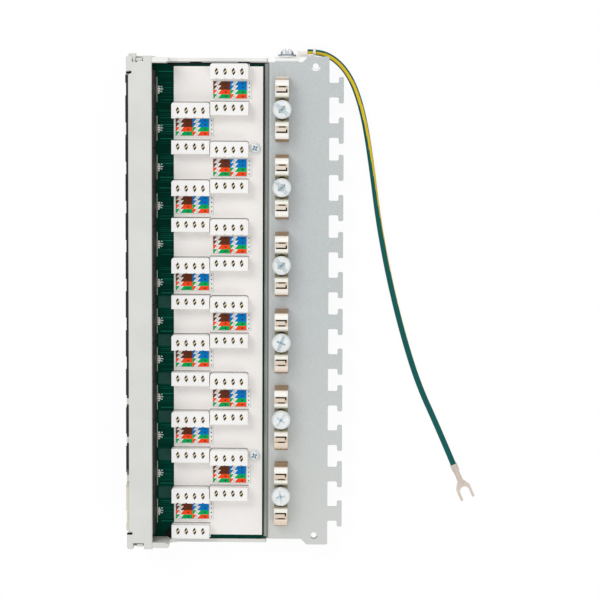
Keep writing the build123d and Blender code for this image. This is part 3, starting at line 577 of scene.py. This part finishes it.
# Painted shade: black for the folded sheet ends deep in the housing's slits.
fold_shade = printed("shield_fold", (0.012, 0.011, 0.009))
latch_mat = printed("latch_pale", (0.7, 0.67, 0.58))


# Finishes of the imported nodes
def finish(name, material):
    """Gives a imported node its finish."""
    nodes[name].data.materials.clear()
    nodes[name].data.materials.append(material)


def finish_all():
    """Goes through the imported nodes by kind."""
    single = {
        "chassis": zinc_mat, "front_housing": housing_mat, "circuit_board": board_mat,
        "cover_plate": plate_mat, "front_shield": shield_mat, "jack_contacts": contact_mat,
        "strip_contacts": contact_mat, "colour_cards": white_ink, "clamp_screws": screw_mat,
        "plate_screws": screw_mat, "standoffs": brass_mat, "earth_screw": bright_mat,
        "earth_washer": washer_shade_mat, "ring_terminal": pale_tin_mat, "fork_terminal": tin_mat,
    }
    for name, material in single.items():
        finish(name, material)
    for number in range(1, PORT_COUNT + 1):
        finish(f"jack_{number:02d}", jack_mat)
        finish(f"strip_{number:02d}_upper", strip_mat)
        finish(f"strip_{number:02d}_lower", strip_mat)
    for number in range(1, CLAMP_COUNT + 1):
        finish(f"cable_clamp_{number}", clamp_mat)


finish_all()


# Earth wire. The route is in millimetres, the stripe's turns and width in degrees.
WIRE_DIAMETER = 3.0 * MM
WIRE_SIDES = 48
WIRE_POINTS = [
    (-129.6, 55.875, 6.0), (-129.6, 61.6, 6.0), (-127.7, 67.2, 5.7), (-124.1, 72.2, 5.2),
    (-118.9, 76.6, 4.6), (-111.7, 80.4, 3.8), (-101.3, 83.9, 2.8), (-87.9, 86.8, 2.0),
    (-67.5, 89.9, 1.6), (-41.4, 93.3, 1.5), (-13.1, 98.7, 1.5), (16.3, 106.0, 1.5),
    (43.7, 114.6, 1.5), (66.2, 125.0, 1.9), (88.7, 134.6, 1.9),
]
ROUTE_ORDER = 3
ROUTE_STEPS = 12
STRIPE_TURNS = (
    (0.0, 14), (0.1, 6), (0.17, -3), (0.25, -20), (0.34, -45), (0.45, -70), (0.57, -82), (1.0, -125),
)
STRIPE_WIDTH = 60


def smooth_route():
    """Points along a smooth line through the wire's route."""
    data = bpy.data.curves.new("wire_line", "CURVE")
    data.dimensions = "3D"
    spline = data.splines.new("NURBS")
    spline.points.add(len(WIRE_POINTS) - 1)
    for point, place in zip(spline.points, WIRE_POINTS):
        point.co = (place[0] * MM, place[1] * MM, place[2] * MM, 1)
    spline.order_u = ROUTE_ORDER
    spline.use_endpoint_u = True
    spline.resolution_u = ROUTE_STEPS
    line = bpy.data.objects.new("wire_line", data)
    bpy.context.scene.collection.objects.link(line)
    bpy.context.view_layer.update()
    mesh = bpy.data.meshes.new_from_object(line)
    points = [v.co.copy() for v in mesh.vertices]
    bpy.data.objects.remove(line)
    return points


def stripe_angle(share):
    """The turn of the stripe's middle at a share of the wire's length."""
    for (low, first), (high, second) in zip(STRIPE_TURNS, STRIPE_TURNS[1:]):
        if share <= high:
            return first + (second - first) * (share - low) / (high - low)
    return STRIPE_TURNS[-1][1]


def add_wire():
    """Green insulation with a yellow stripe that turns slowly round it."""
    points = smooth_route()
    vertices, faces, looks = [], [], []
    radius = WIRE_DIAMETER / 2
    side = Vector((0, 0, 1))
    count = len(points)
    for i, point in enumerate(points):
        ahead = points[min(i + 1, count - 1)] - points[max(i - 1, 0)]
        ahead.normalize()
        side = (side - ahead * side.dot(ahead)).normalized()
        across = ahead.cross(side)
        for j in range(WIRE_SIDES):
            angle = 2 * math.pi * j / WIRE_SIDES
            vertices.append(point + radius * (math.cos(angle) * side + math.sin(angle) * across))
    steps = [(b - a).length for a, b in zip(points, points[1:])]
    length = sum(steps)
    for i in range(count - 1):
        middle = stripe_angle(sum(steps[:i]) / length)
        for j in range(WIRE_SIDES):
            following = (j + 1) % WIRE_SIDES
            a = i * WIRE_SIDES
            b = a + WIRE_SIDES
            faces.append((a + j, a + following, b + following, b + j))
            angle = 360 * (j + 0.5) / WIRE_SIDES
            offset = (angle - middle + 180) % 360 - 180
            looks.append(yellow_mat if abs(offset) < STRIPE_WIDTH / 2 else green_mat)
    first_end = range(WIRE_SIDES - 1, -1, -1)
    last_end = range((count - 1) * WIRE_SIDES, count * WIRE_SIDES)
    for ring in (first_end, last_end):
        faces.append(tuple(ring))
        looks.append(green_mat)
    wire = add_mesh("wire_cover", vertices, faces, looks, True)
    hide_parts("earth_wire")


add_wire()


# Colour cards and printing
CODE_ROWS = (
    (brown_ink, blue_ink), (brown_ink, blue_ink), (orange_ink, green_ink), (green_ink, orange_ink),
)
FIELD_LENGTH = 17.5 * MM
FIELD_WIDTH = 9.0 * MM
FIELD_START = 1.15 * MM
FIELD_SHIFTS = ((-0.3 * MM, 0.0), (-1.05 * MM, 0.55 * MM))
FRAME_LINE = 0.14 * MM
BAND_LEFT = (0.1, 0.56)
BAND_RIGHT = (0.5, 0.98)
DOT_HALF = 0.36 * MM
MARGIN_LENGTH = 2.2 * MM
MARGIN_MARK_X = (0.8 * MM, 1.4 * MM)
MARGIN_MARK_Y = (0.9 * MM, 1.4 * MM)


def frame_lines(patches, x, y, z):
    """Four thin grey lines round a rectangle."""
    patches.rectangle((x[0], x[1]), (y[0], y[0] + FRAME_LINE), z, grey_ink)
    patches.rectangle((x[0], x[1]), (y[1] - FRAME_LINE, y[1]), z, grey_ink)
    patches.rectangle((x[0], x[0] + FRAME_LINE), y, z, grey_ink)
    patches.rectangle((x[1] - FRAME_LINE, x[1]), y, z, grey_ink)


def add_code_cell(patches, x, y, z, striped, ink):
    """One cell of a card: a colour field, with a white slanting band if it stands for a striped wire."""
    patches.rectangle(x, y, z, ink)
    length = y[1] - y[0]
    if striped:
        low = [y[0] + share * length for share in BAND_LEFT]
        high = [y[0] + share * length for share in BAND_RIGHT]
        band = [(x[1], low[0]), (x[1], low[1]), (x[0], high[1]), (x[0], high[0])]
        patches.polygon(band, z + SKIN, white_ink)
    middle = ((x[0] + x[1]) / 2, (y[0] + y[1]) / 2)
    dot = [(c - DOT_HALF, c + DOT_HALF) for c in middle]
    patches.rectangle(*dot, z + 2 * SKIN, grey_ink if striped else dark_ink)


def add_cards():
    """Colour fields of each port: a striped and a plain field for each wire of a pair."""
    patches = Patches()
    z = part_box("colour_cards")[1].z + SKIN
    row_height = FIELD_WIDTH / len(CODE_ROWS)
    column = FIELD_LENGTH / 4
    for number in range(1, PORT_COUNT + 1):
        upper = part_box(f"strip_{number:02d}_upper")
        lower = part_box(f"strip_{number:02d}_lower")
        shift = FIELD_SHIFTS[(number + 1) % 2]
        x_start = (upper[1].x + lower[0].x - FIELD_WIDTH) / 2 + shift[0]
        y_start = upper[0].y + FIELD_START + shift[1]
        x_end = x_start + FIELD_WIDTH
        y_end = y_start + FIELD_LENGTH
        for row, (first, second) in enumerate(CODE_ROWS):
            x = (x_start + row * row_height, x_start + (row + 1) * row_height)
            for place, ink in enumerate((first, first, second, second)):
                y = (y_start + place * column, y_start + (place + 1) * column)
                add_code_cell(patches, x, y, z, place % 2 == 0, ink)
            mark = [x[0] + c for c in MARGIN_MARK_X], [y_end + c for c in MARGIN_MARK_Y]
            patches.rectangle(*mark, z, dark_ink)
        frame_lines(patches, (x_start, x_end), (y_start, y_end), z + 3 * SKIN)
        frame_lines(patches, (x_start, x_end), (y_end, y_end + MARGIN_LENGTH), z + 3 * SKIN)
    piece = patches.build("card_fields")


add_cards()


# Board: conductors, solder and marks in the band between jacks and wiring plate.
# A trace has its place beside the port and its width, in millimetres.
TRACES = (
    (-9.6, 0.5), (-8.9, 0.25), (-7.8, 0.2), (-6.9, 0.2), (-5.6, 0.3), (-4.7, 0.2), (-3.6, 0.2),
    (-2.2, 0.45), (-1.1, 0.2), (0.2, 0.2), (1.4, 0.3), (2.6, 0.2), (3.5, 0.2), (5.0, 0.6),
    (6.6, 0.3), (7.7, 0.2),
)
TRACES_LEFT_OUT = 0.25
DULL_TRACES = 0.5
TRACE_STARTS = (0.9, 1.7, 1.7)
TRACE_START_SPREAD = 0.8
TRACE_END = PLATE[0].y + 0.9 * MM
LAST_BARE_PORT = 5
PANEL_HALF = 2.9 * MM
PANEL_START = JACK_REAR + 1.0 * MM
OUTLINE_HALF = 6.4 * MM
OUTLINE_Y = (JACK_REAR + 0.2 * MM, JACK_REAR + 0.6 * MM)
PAD_PITCH = 1.05 * MM
PADS_BEFORE = 1.8
PAD_WIDTH = 0.8 * MM
PAD_HEIGHT = 0.25 * MM
PAD_ENDS = ((0.9, 1.7), (0.75, 2.15), (0.75, 2.15), (0.9, 1.7))
MARK_PITCH = 1.25 * MM
MARKS_BEFORE = 1.4
MARK_WIDTH = 0.5 * MM
MARK_START = JACK_REAR + 2.35 * MM
MARK_ENDS = (3.1, 3.5, 3.1)


def add_traces(patches, port, z):
    """Conductors of one port under the mask, a few of them left out at random."""
    for place, (offset, width) in enumerate(TRACES):
        if random.random() < TRACES_LEFT_OUT:
            continue
        x = port + offset * MM
        start = JACK_REAR + TRACE_STARTS[place % 3] * MM + random.uniform(0, TRACE_START_SPREAD) * MM
        ink = trace_mat if random.random() < DULL_TRACES else trace_light
        patches.rectangle((x, x + width * MM), (start, TRACE_END), z, ink)


def add_joints(patches, port, z):
    """Solder joints and pale marks behind one jack."""
    for place, ends in enumerate(PAD_ENDS):
        x = port + (place - PADS_BEFORE) * PAD_PITCH
        along = [JACK_REAR + end * MM for end in ends]
        patches.slab((x, x + PAD_WIDTH), along, (z, z + PAD_HEIGHT), pad_mat)
    for place, end in enumerate(MARK_ENDS):
        x = port + (place - MARKS_BEFORE) * MARK_PITCH
        mark = (MARK_START, JACK_REAR + end * MM)
        patches.rectangle((x, x + MARK_WIDTH), mark, z + SKIN, mark_mat)


def add_board_details():
    """Traces, joints and the outline of each jack, with a plain panel between the later ports that is
    painted paler as a sheen.
    """
    patches = Patches()
    z = BOARD[1].z + SKIN
    for number in range(1, PORT_COUNT + 1):
        port, _ = middle_of(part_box(f"jack_{number:02d}"))
        add_traces(patches, port, z)
        if LAST_BARE_PORT < number < PORT_COUNT:
            middle = port + PORT_PITCH / 2
            panel = (middle - PANEL_HALF, middle + PANEL_HALF)
            patches.rectangle(panel, (PANEL_START, TRACE_END), z + SKIN, panel_sheen_mat)
        outline = (port - OUTLINE_HALF, port + OUTLINE_HALF)
        patches.rectangle(outline, OUTLINE_Y, z + SKIN, silk_mat)
        add_joints(patches, port, z)
    patches.build("board_details")


add_board_details()


# Screw drives: painted light and shade on the screw heads
DRIVE_TURNS = (48, 42, 40, -22, -35, 10)
DRIVE_DEPTH = 0.9 * MM
# The first drives get painted shade lines along their slots, and the first three also get painted shade
# beside them.
LAST_SHADED_DRIVE = 3
LAST_EDGE_SHADED_DRIVE = 4
SLOT_END_PLACE = 3.0 * MM
SLOT_END = bar(2.9 * MM, 1.1 * MM)
SLOT_CROSS = bar(4.6 * MM, 1.0 * MM)
SLOT_GLINT = bar(1.5 * MM, 0.5 * MM)
SLOT_EDGE = (8.0 * MM, 0.16 * MM, 0.72 * MM)
SLOT_SHADE = (2.8 * MM, 0.65 * MM, 1.3 * MM)
PLATE_CROSS = bar(3.0 * MM, 0.9 * MM)
PLATE_CROSS_TURN = 30
PLATE_GLINT = bar(0.7 * MM, 0.6 * MM)
PLATE_GLINT_TURN = 75


def add_plate_drives(patches):
    """A cross of painted shade and a painted glint on each screw of the wiring plate."""
    low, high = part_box("plate_screws")
    y = (low.y + high.y) / 2
    head = (high.y - low.y) / 2
    for x in (low.x + head, high.x - head):
        for layer, angle in enumerate((PLATE_CROSS_TURN, PLATE_CROSS_TURN + 90), start=1):
            patches.polygon(turned(PLATE_CROSS, (x, y), angle), high.z + layer * SKIN, drive_recess_shade)
        patches.polygon(turned(PLATE_GLINT, (x, y), PLATE_GLINT_TURN), high.z + 3 * SKIN, pale_drive_light)


def add_clamp_drives(patches):
    """Painted light and shade of the clamp screws' drives: pale slot floors with painted shade lines
    along the slots on the first ones, painted shade beside the slots of the first three, floors and
    cross painted white as painted light on the last, painted glints on all.
    """
    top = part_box("clamp_screws")[1].z
    floor = top - DRIVE_DEPTH + SKIN
    for number, angle in enumerate(DRIVE_TURNS, start=1):
        centre = middle_of(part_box(f"cable_clamp_{number}"))
        edge_shaded = number <= LAST_EDGE_SHADED_DRIVE
        for end in (-SLOT_END_PLACE, SLOT_END_PLACE):
            piece = [(end + x, y) for x, y in SLOT_END]
            patches.polygon(turned(piece, centre, angle), floor, pale_drive_light if edge_shaded else white_drive_light)
        if not edge_shaded:
            patches.polygon(turned(SLOT_CROSS, centre, angle + 90), floor, white_drive_light)
        for side in (-1, 1):
            if edge_shaded:
                edge = bar(SLOT_EDGE[0], SLOT_EDGE[1], side * SLOT_EDGE[2])
                patches.polygon(turned(edge, centre, angle), top + SKIN, drive_edge_shade)
            if number <= LAST_SHADED_DRIVE:
                shade = bar(SLOT_SHADE[0], SLOT_SHADE[1], side * SLOT_SHADE[2])
                patches.polygon(turned(shade, centre, angle), top + SKIN, drive_shade)
        patches.polygon(turned(SLOT_GLINT, centre, angle + 45), top + SKIN, drive_glint)
        patches.polygon(turned(SLOT_GLINT, centre, angle - 45), top + 2 * SKIN, drive_glint)


def add_drives():
    """Painted light and shade on the drives of all screws seen from above."""
    patches = Patches()
    add_plate_drives(patches)
    add_clamp_drives(patches)
    patches.build("screw_drive_shading")


# Clamps: painted shade and painted light under the U-shaped cuts and beside the screw heads
TONGUE_LOW, TONGUE_HIGH, TONGUE_CUT = 8.5 * MM, 12.0 * MM, 0.8 * MM
TONGUE_REACH = 2.85 * MM
THIN_LINE = (-1.6 * MM, 2.0 * MM)
LAST_NEAR_CLAMP = 3
CLAMP_SHEET = 0.8 * MM
VALLEY_DROP = 2.4 * MM
VALLEY_LOW, VALLEY_HIGH = 4.0 * MM, 5.95 * MM
VALLEY_REACH = 2.3 * MM


def add_tongue_shades():
    """Painted shade and painted light on flat sheets under the cuts of the clamps, and painted shade in
    their valleys.

    Of the two cuts across a tongue, the one towards the nearer end of the row is thin and painted
    half lit, and the one towards the row's middle is painted dark.
    """
    patches = Patches()
    for number in range(1, CLAMP_COUNT + 1):
        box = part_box(f"cable_clamp_{number}")
        x, y = middle_of(box)
        z = box[1].z - CLAMP_SHEET - SKIN
        reach = (y - TONGUE_REACH, y + TONGUE_REACH)
        bend = (y + TONGUE_REACH - TONGUE_CUT, y + TONGUE_REACH)
        for side in (-1, 1):
            start, end = sorted((x + side * TONGUE_LOW, x + side * TONGUE_HIGH))
            middle = (start + end) / 2
            cuts = [(start, start + TONGUE_CUT), (end - TONGUE_CUT, end)]
            halves = [(start + TONGUE_CUT, middle), (middle, end - TONGUE_CUT)]
            if number > LAST_NEAR_CLAMP:
                cuts.reverse()
                halves.reverse()
            thin = (y + THIN_LINE[0], y + THIN_LINE[1])
            patches.rectangle(cuts[0], reach, z, slit_glint)
            patches.rectangle(cuts[0], thin, z + SKIN, brown_slit_shade)
            patches.rectangle(cuts[1], reach, z, dark_slit_shade)
            patches.rectangle(halves[0], bend, z, slit_glint)
            patches.rectangle(halves[1], bend, z, dark_slit_shade)
            valley = sorted((x + side * VALLEY_LOW, x + side * VALLEY_HIGH))
            across = (y - VALLEY_REACH, y + VALLEY_REACH)
            patches.rectangle(valley, across, z - VALLEY_DROP, valley_shade)
    patches.build("tongue_shades")


# Strips. The pocket's corners are in millimetres about its contact.
CONTACT_COUNT = 4
CONTACT_PITCH = 4.33 * MM
CONTACT_ROWS = {"upper": 4.15 * MM, "lower": 3.2 * MM}
POCKET = ((-1.9, 0), (-0.66, -0.86), (0.66, -0.86), (1.9, 0), (0.66, 0.86), (-0.66, 0.86))
POCKET_SHADE_DEPTH = 1.35 * MM
BLADE_EDGE = bar(2.7 * MM, 0.56 * MM)
BLADE_TURN = 132
BLADE_EDGE_DEPTH = 0.66 * MM


def add_blade_edges():
    """Shaded pockets and bright bevelled edges of the slanting blades."""
    patches = Patches()
    for number in range(1, PORT_COUNT + 1):
        for kind, row in CONTACT_ROWS.items():
            low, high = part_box(f"strip_{number:02d}_{kind}")
            x = low.x + row
            middle = (low.y + high.y) / 2
            for place in range(CONTACT_COUNT):
                y = middle + (place - (CONTACT_COUNT - 1) / 2) * CONTACT_PITCH
                pocket = [(x + a * MM, y + b * MM) for a, b in POCKET]
                patches.polygon(pocket, high.z - POCKET_SHADE_DEPTH, pocket_mat)
                edge = turned(BLADE_EDGE, (x, y), BLADE_TURN)
                patches.polygon(edge, high.z - BLADE_EDGE_DEPTH, blade_mat)
    patches.build("blade_edges")


# Painted shade and light at the edges of the board, the strips' windows and the ear holes.
# The south corner is in millimetres inwards from the board's end and along its depth.
CORNER_START = JACK_REAR + 6.0 * MM
CORNER_INSET = 0.02 * MM
NORTH_WIDTH = 0.75 * MM
NORTH_STEPS = (1.0 * MM, 2.6 * MM, 4.0 * MM)
NORTH_TIP = PLATE[0].x - 0.1 * MM
SOUTH_CORNER = ((0.1, -2.0), (0.1, 3.0), (3.4, 2.6), (4.8, 0.6), (3.0, -1.6))
WINDOW_GAP = 0.35 * MM
WINDOW_SHADE_DEPTH = 0.5 * MM
WINDOW_FILL_DEPTH = 0.05 * MM
GAP_STRIP_Y = (BOARD[1].y + 0.04 * MM, BOARD[1].y + 1.44 * MM)
GAP_STRIP_DEPTHS = (2.4 * MM, 2.0 * MM)
GAP_STRIP_SETBACK = 0.3 * MM
EAR_HOLE = (EARS["dims"]["spacing_x_mm"] / 2 * MM, EARS["pos_m"][1])
EAR_RIM_RADIUS = 1.6 * MM
# A painted highlight crescent at one ear hole, a painted shade crescent at the other.
EAR_RIMS = ((-1, 2.6 * MM, rim_highlight), (1, 1.95 * MM, rim_shade))
EAR_RIM_TURNS = range(-60, 81, 10)


def add_corner_shades(patches, z):
    """Painted shade on the board between the side walls and the wiring plate."""
    start = CORNER_START
    rear = BOARD[1].y - CORNER_INSET
    outer = BOARD[0].x + CORNER_INSET
    inner = BOARD[0].x + NORTH_WIDTH
    first, second, third = [start + step for step in NORTH_STEPS]
    north = [
        (outer, start), (outer, rear), (inner, rear),
        (inner, third), (NORTH_TIP, second), (NORTH_TIP, first),
    ]
    patches.polygon(north, z, edge_mat)
    south = [(BOARD[1].x - a * MM, start + b * MM) for a, b in SOUTH_CORNER]
    patches.polygon(south, z, edge_mat)


def add_window_shades(patches):
    """A painted shade line above each strip, and its window filled below it and at its rear end."""
    for number in range(1, PORT_COUNT + 1):
        for kind in CONTACT_ROWS:
            low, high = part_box(f"strip_{number:02d}_{kind}")
            dark = PLATE[1].z - WINDOW_SHADE_DEPTH
            fill = PLATE[1].z - WINDOW_FILL_DEPTH
            below = (high.x + SKIN, high.x + WINDOW_GAP)
            behind = (high.y + SKIN, high.y + WINDOW_GAP)
            patches.rectangle((low.x - WINDOW_GAP, low.x - SKIN), (low.y, high.y), dark, window_mat)
            patches.rectangle(below, (low.y - WINDOW_GAP, high.y + WINDOW_GAP), fill, plate_mat)
            patches.rectangle((low.x, high.x + SKIN), behind, fill, plate_mat)


def add_ear_rims(patches):
    """A painted highlight and a painted shade crescent beside the ear holes."""
    for side, outer, look in EAR_RIMS:
        rim = []
        for radius, turns in ((EAR_RIM_RADIUS, EAR_RIM_TURNS), (outer, reversed(EAR_RIM_TURNS))):
            for angle in turns:
                rim += turned([(radius, 0)], (side * EAR_HOLE[0], EAR_HOLE[1]), angle)
        patches.polygon(rim, CHASSIS[1].z + SKIN, look)


def add_small_shades():
    """Painted shade at the board corners and round the strips, a grey strip of painted shade in the gap
    behind the board, painted light and shade at the ear rims.
    """
    patches = Patches()
    z = BOARD[1].z + 2 * SKIN
    add_corner_shades(patches, z)
    add_window_shades(patches)
    # A grey strip of painted shade in the gap behind the board.
    along = (BOARD[0].x + GAP_STRIP_SETBACK, BOARD[1].x - GAP_STRIP_SETBACK)
    patches.slab(along, GAP_STRIP_Y, [z - depth for depth in GAP_STRIP_DEPTHS], gap_shade_mat)
    add_ear_rims(patches)
    patches.build("edge_shades")


# Front edge
FOLD_ENDS = ((-119.1 * MM, -117.7 * MM), (118.6 * MM, 119.35 * MM))
FOLD_Y = (SHIELD[0].y + 0.42 * MM, SHIELD[0].y + 3.2 * MM)
FOLD_Z = (SHIELD[1].z - 0.9 * MM, SHIELD[1].z + 0.3 * MM)
FIRST_BRIGHT_LATCH = 9
LATCH_HALF = 1.6 * MM
LATCH_Y = (SHIELD[0].y + 0.36 * MM, SHIELD[1].y - 0.05 * MM)


def add_shield_folds():
    """The ends of the front sheet folded back into the slits of the housing, painted black for the shade
    in the slits.
    """
    patches = Patches()
    for ends in FOLD_ENDS:
        patches.slab(ends, FOLD_Y, FOLD_Z, fold_shade)
    patches.build("shield_folds")


def add_front_marks():
    """Bright ends of the latches where the row's front edge catches the light."""
    patches = Patches()
    for number in range(FIRST_BRIGHT_LATCH, PORT_COUNT + 1):
        port, _ = middle_of(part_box(f"jack_{number:02d}"))
        latch = (port - LATCH_HALF, port + LATCH_HALF)
        patches.rectangle(latch, LATCH_Y, SHIELD[1].z + SKIN, latch_mat)
    patches.build("latch_marks")


add_drives()
add_tongue_shades()
add_blade_edges()
add_small_shades()
add_shield_folds()
add_front_marks()


# Floor, light and world
FLOOR_HALF = 3.0
FLOOR_DROP = 0.2 * MM
FLOOR_COLOR = (0.8, 0.8, 0.8, 1)
FLOOR_GLOW = 1.04
FLOOR_GLOW_SHARE = 0.88
LAMP_SIZE = 0.6
LAMPS = (("key", (-0.75, -0.6, 1.0), 5), ("fill", (0.75, 0.6, 1.0), 2.5))
SKY_STRENGTH = 0.85
SKY = ((0.0, 0.22), (0.2, 0.5), (0.42, 1.0), (0.72, 1.0), (0.88, 0.75), (0.97, 0.55), (1.0, 0.5))


def seen_rays(tree):
    """One for rays from the camera, from metal and through glass, and zero for the rest."""
    path = tree.nodes.new("ShaderNodeLightPath")
    total = path.outputs["Is Camera Ray"]
    for kind in ("Is Glossy Ray", "Is Transmission Ray"):
        add = tree.nodes.new("ShaderNodeMath")
        add.operation = "MAXIMUM"
        tree.links.new(total, add.inputs[0])
        tree.links.new(path.outputs[kind], add.inputs[1])
        total = add.outputs[0]
    return total


def blend_to_output(tree, share, first, second, output):
    """Joins two shaders by a share and sends them to the output."""
    mix = tree.nodes.new("ShaderNodeMixShader")
    tree.links.new(share, mix.inputs[0])
    tree.links.new(first.outputs[0], mix.inputs[1])
    tree.links.new(second.outputs[0], mix.inputs[2])
    tree.links.new(mix.outputs[0], output.inputs[0])


def add_floor():
    """A plain floor that is seen and mirrored as white and keeps a faint shadow of the object."""
    mesh = bpy.data.meshes.new("floor")
    square = bar(2 * FLOOR_HALF, 2 * FLOOR_HALF)
    corners = [(x, y, -FLOOR_DROP) for x, y in square]
    mesh.from_pydata(corners, [], [(0, 1, 2, 3)])
    floor = bpy.data.objects.new("floor", mesh)
    bpy.context.scene.collection.objects.link(floor)
    material = bpy.data.materials.new("floor")
    material.use_nodes = True
    tree = material.node_tree
    tree.nodes.clear()
    output = tree.nodes.new("ShaderNodeOutputMaterial")
    diffuse = tree.nodes.new("ShaderNodeBsdfDiffuse")
    diffuse.inputs["Color"].default_value = FLOOR_COLOR
    glow = tree.nodes.new("ShaderNodeEmission")
    glow.inputs["Strength"].default_value = FLOOR_GLOW
    seen = tree.nodes.new("ShaderNodeMath")
    seen.operation = "MULTIPLY"
    seen.inputs[1].default_value = FLOOR_GLOW_SHARE
    tree.links.new(seen_rays(tree), seen.inputs[0])
    blend_to_output(tree, seen.outputs[0], diffuse, glow, output)
    mesh.materials.append(material)


def add_lamp(name, place, power):
    """A square soft box that looks at the middle of the object."""
    data = bpy.data.lights.new(name, "AREA")
    data.size = LAMP_SIZE
    data.energy = power
    lamp = bpy.data.objects.new(name, data)
    aim = (-Vector(place)).to_track_quat("-Z", "Y").to_matrix().to_4x4()
    lamp.matrix_world = Matrix.Translation(place) @ aim
    bpy.context.scene.collection.objects.link(lamp)


def add_world():
    """A pale room, darker overhead and at the horizon, that is seen and mirrored as plain white."""
    world = bpy.data.worlds.new("world")
    bpy.context.scene.world = world
    world.use_nodes = True
    tree = world.node_tree
    tree.nodes.clear()
    output = tree.nodes.new("ShaderNodeOutputWorld")
    place = tree.nodes.new("ShaderNodeTexCoord")
    split = tree.nodes.new("ShaderNodeSeparateXYZ")
    tree.links.new(place.outputs["Generated"], split.inputs[0])
    ramp = tree.nodes.new("ShaderNodeValToRGB")
    stops = ramp.color_ramp.elements
    for stop, (height, level) in zip(stops, (SKY[0], SKY[-1])):
        stop.position = height
        stop.color = (level, level, level, 1)
    for height, level in SKY[1:-1]:
        stops.new(height).color = (level, level, level, 1)
    tree.links.new(split.outputs["Z"], ramp.inputs["Fac"])
    room = tree.nodes.new("ShaderNodeBackground")
    room.inputs["Strength"].default_value = SKY_STRENGTH
    tree.links.new(ramp.outputs["Color"], room.inputs["Color"])
    plain = tree.nodes.new("ShaderNodeBackground")
    plain.inputs["Color"].default_value = (1, 1, 1, 1)
    blend_to_output(tree, seen_rays(tree), room, plain, output)


add_floor()
add_world()
for lamp_name, lamp_place, lamp_power in LAMPS:
    add_lamp(lamp_name, lamp_place, lamp_power)
bpy.context.scene.view_settings.view_transform = "Standard"
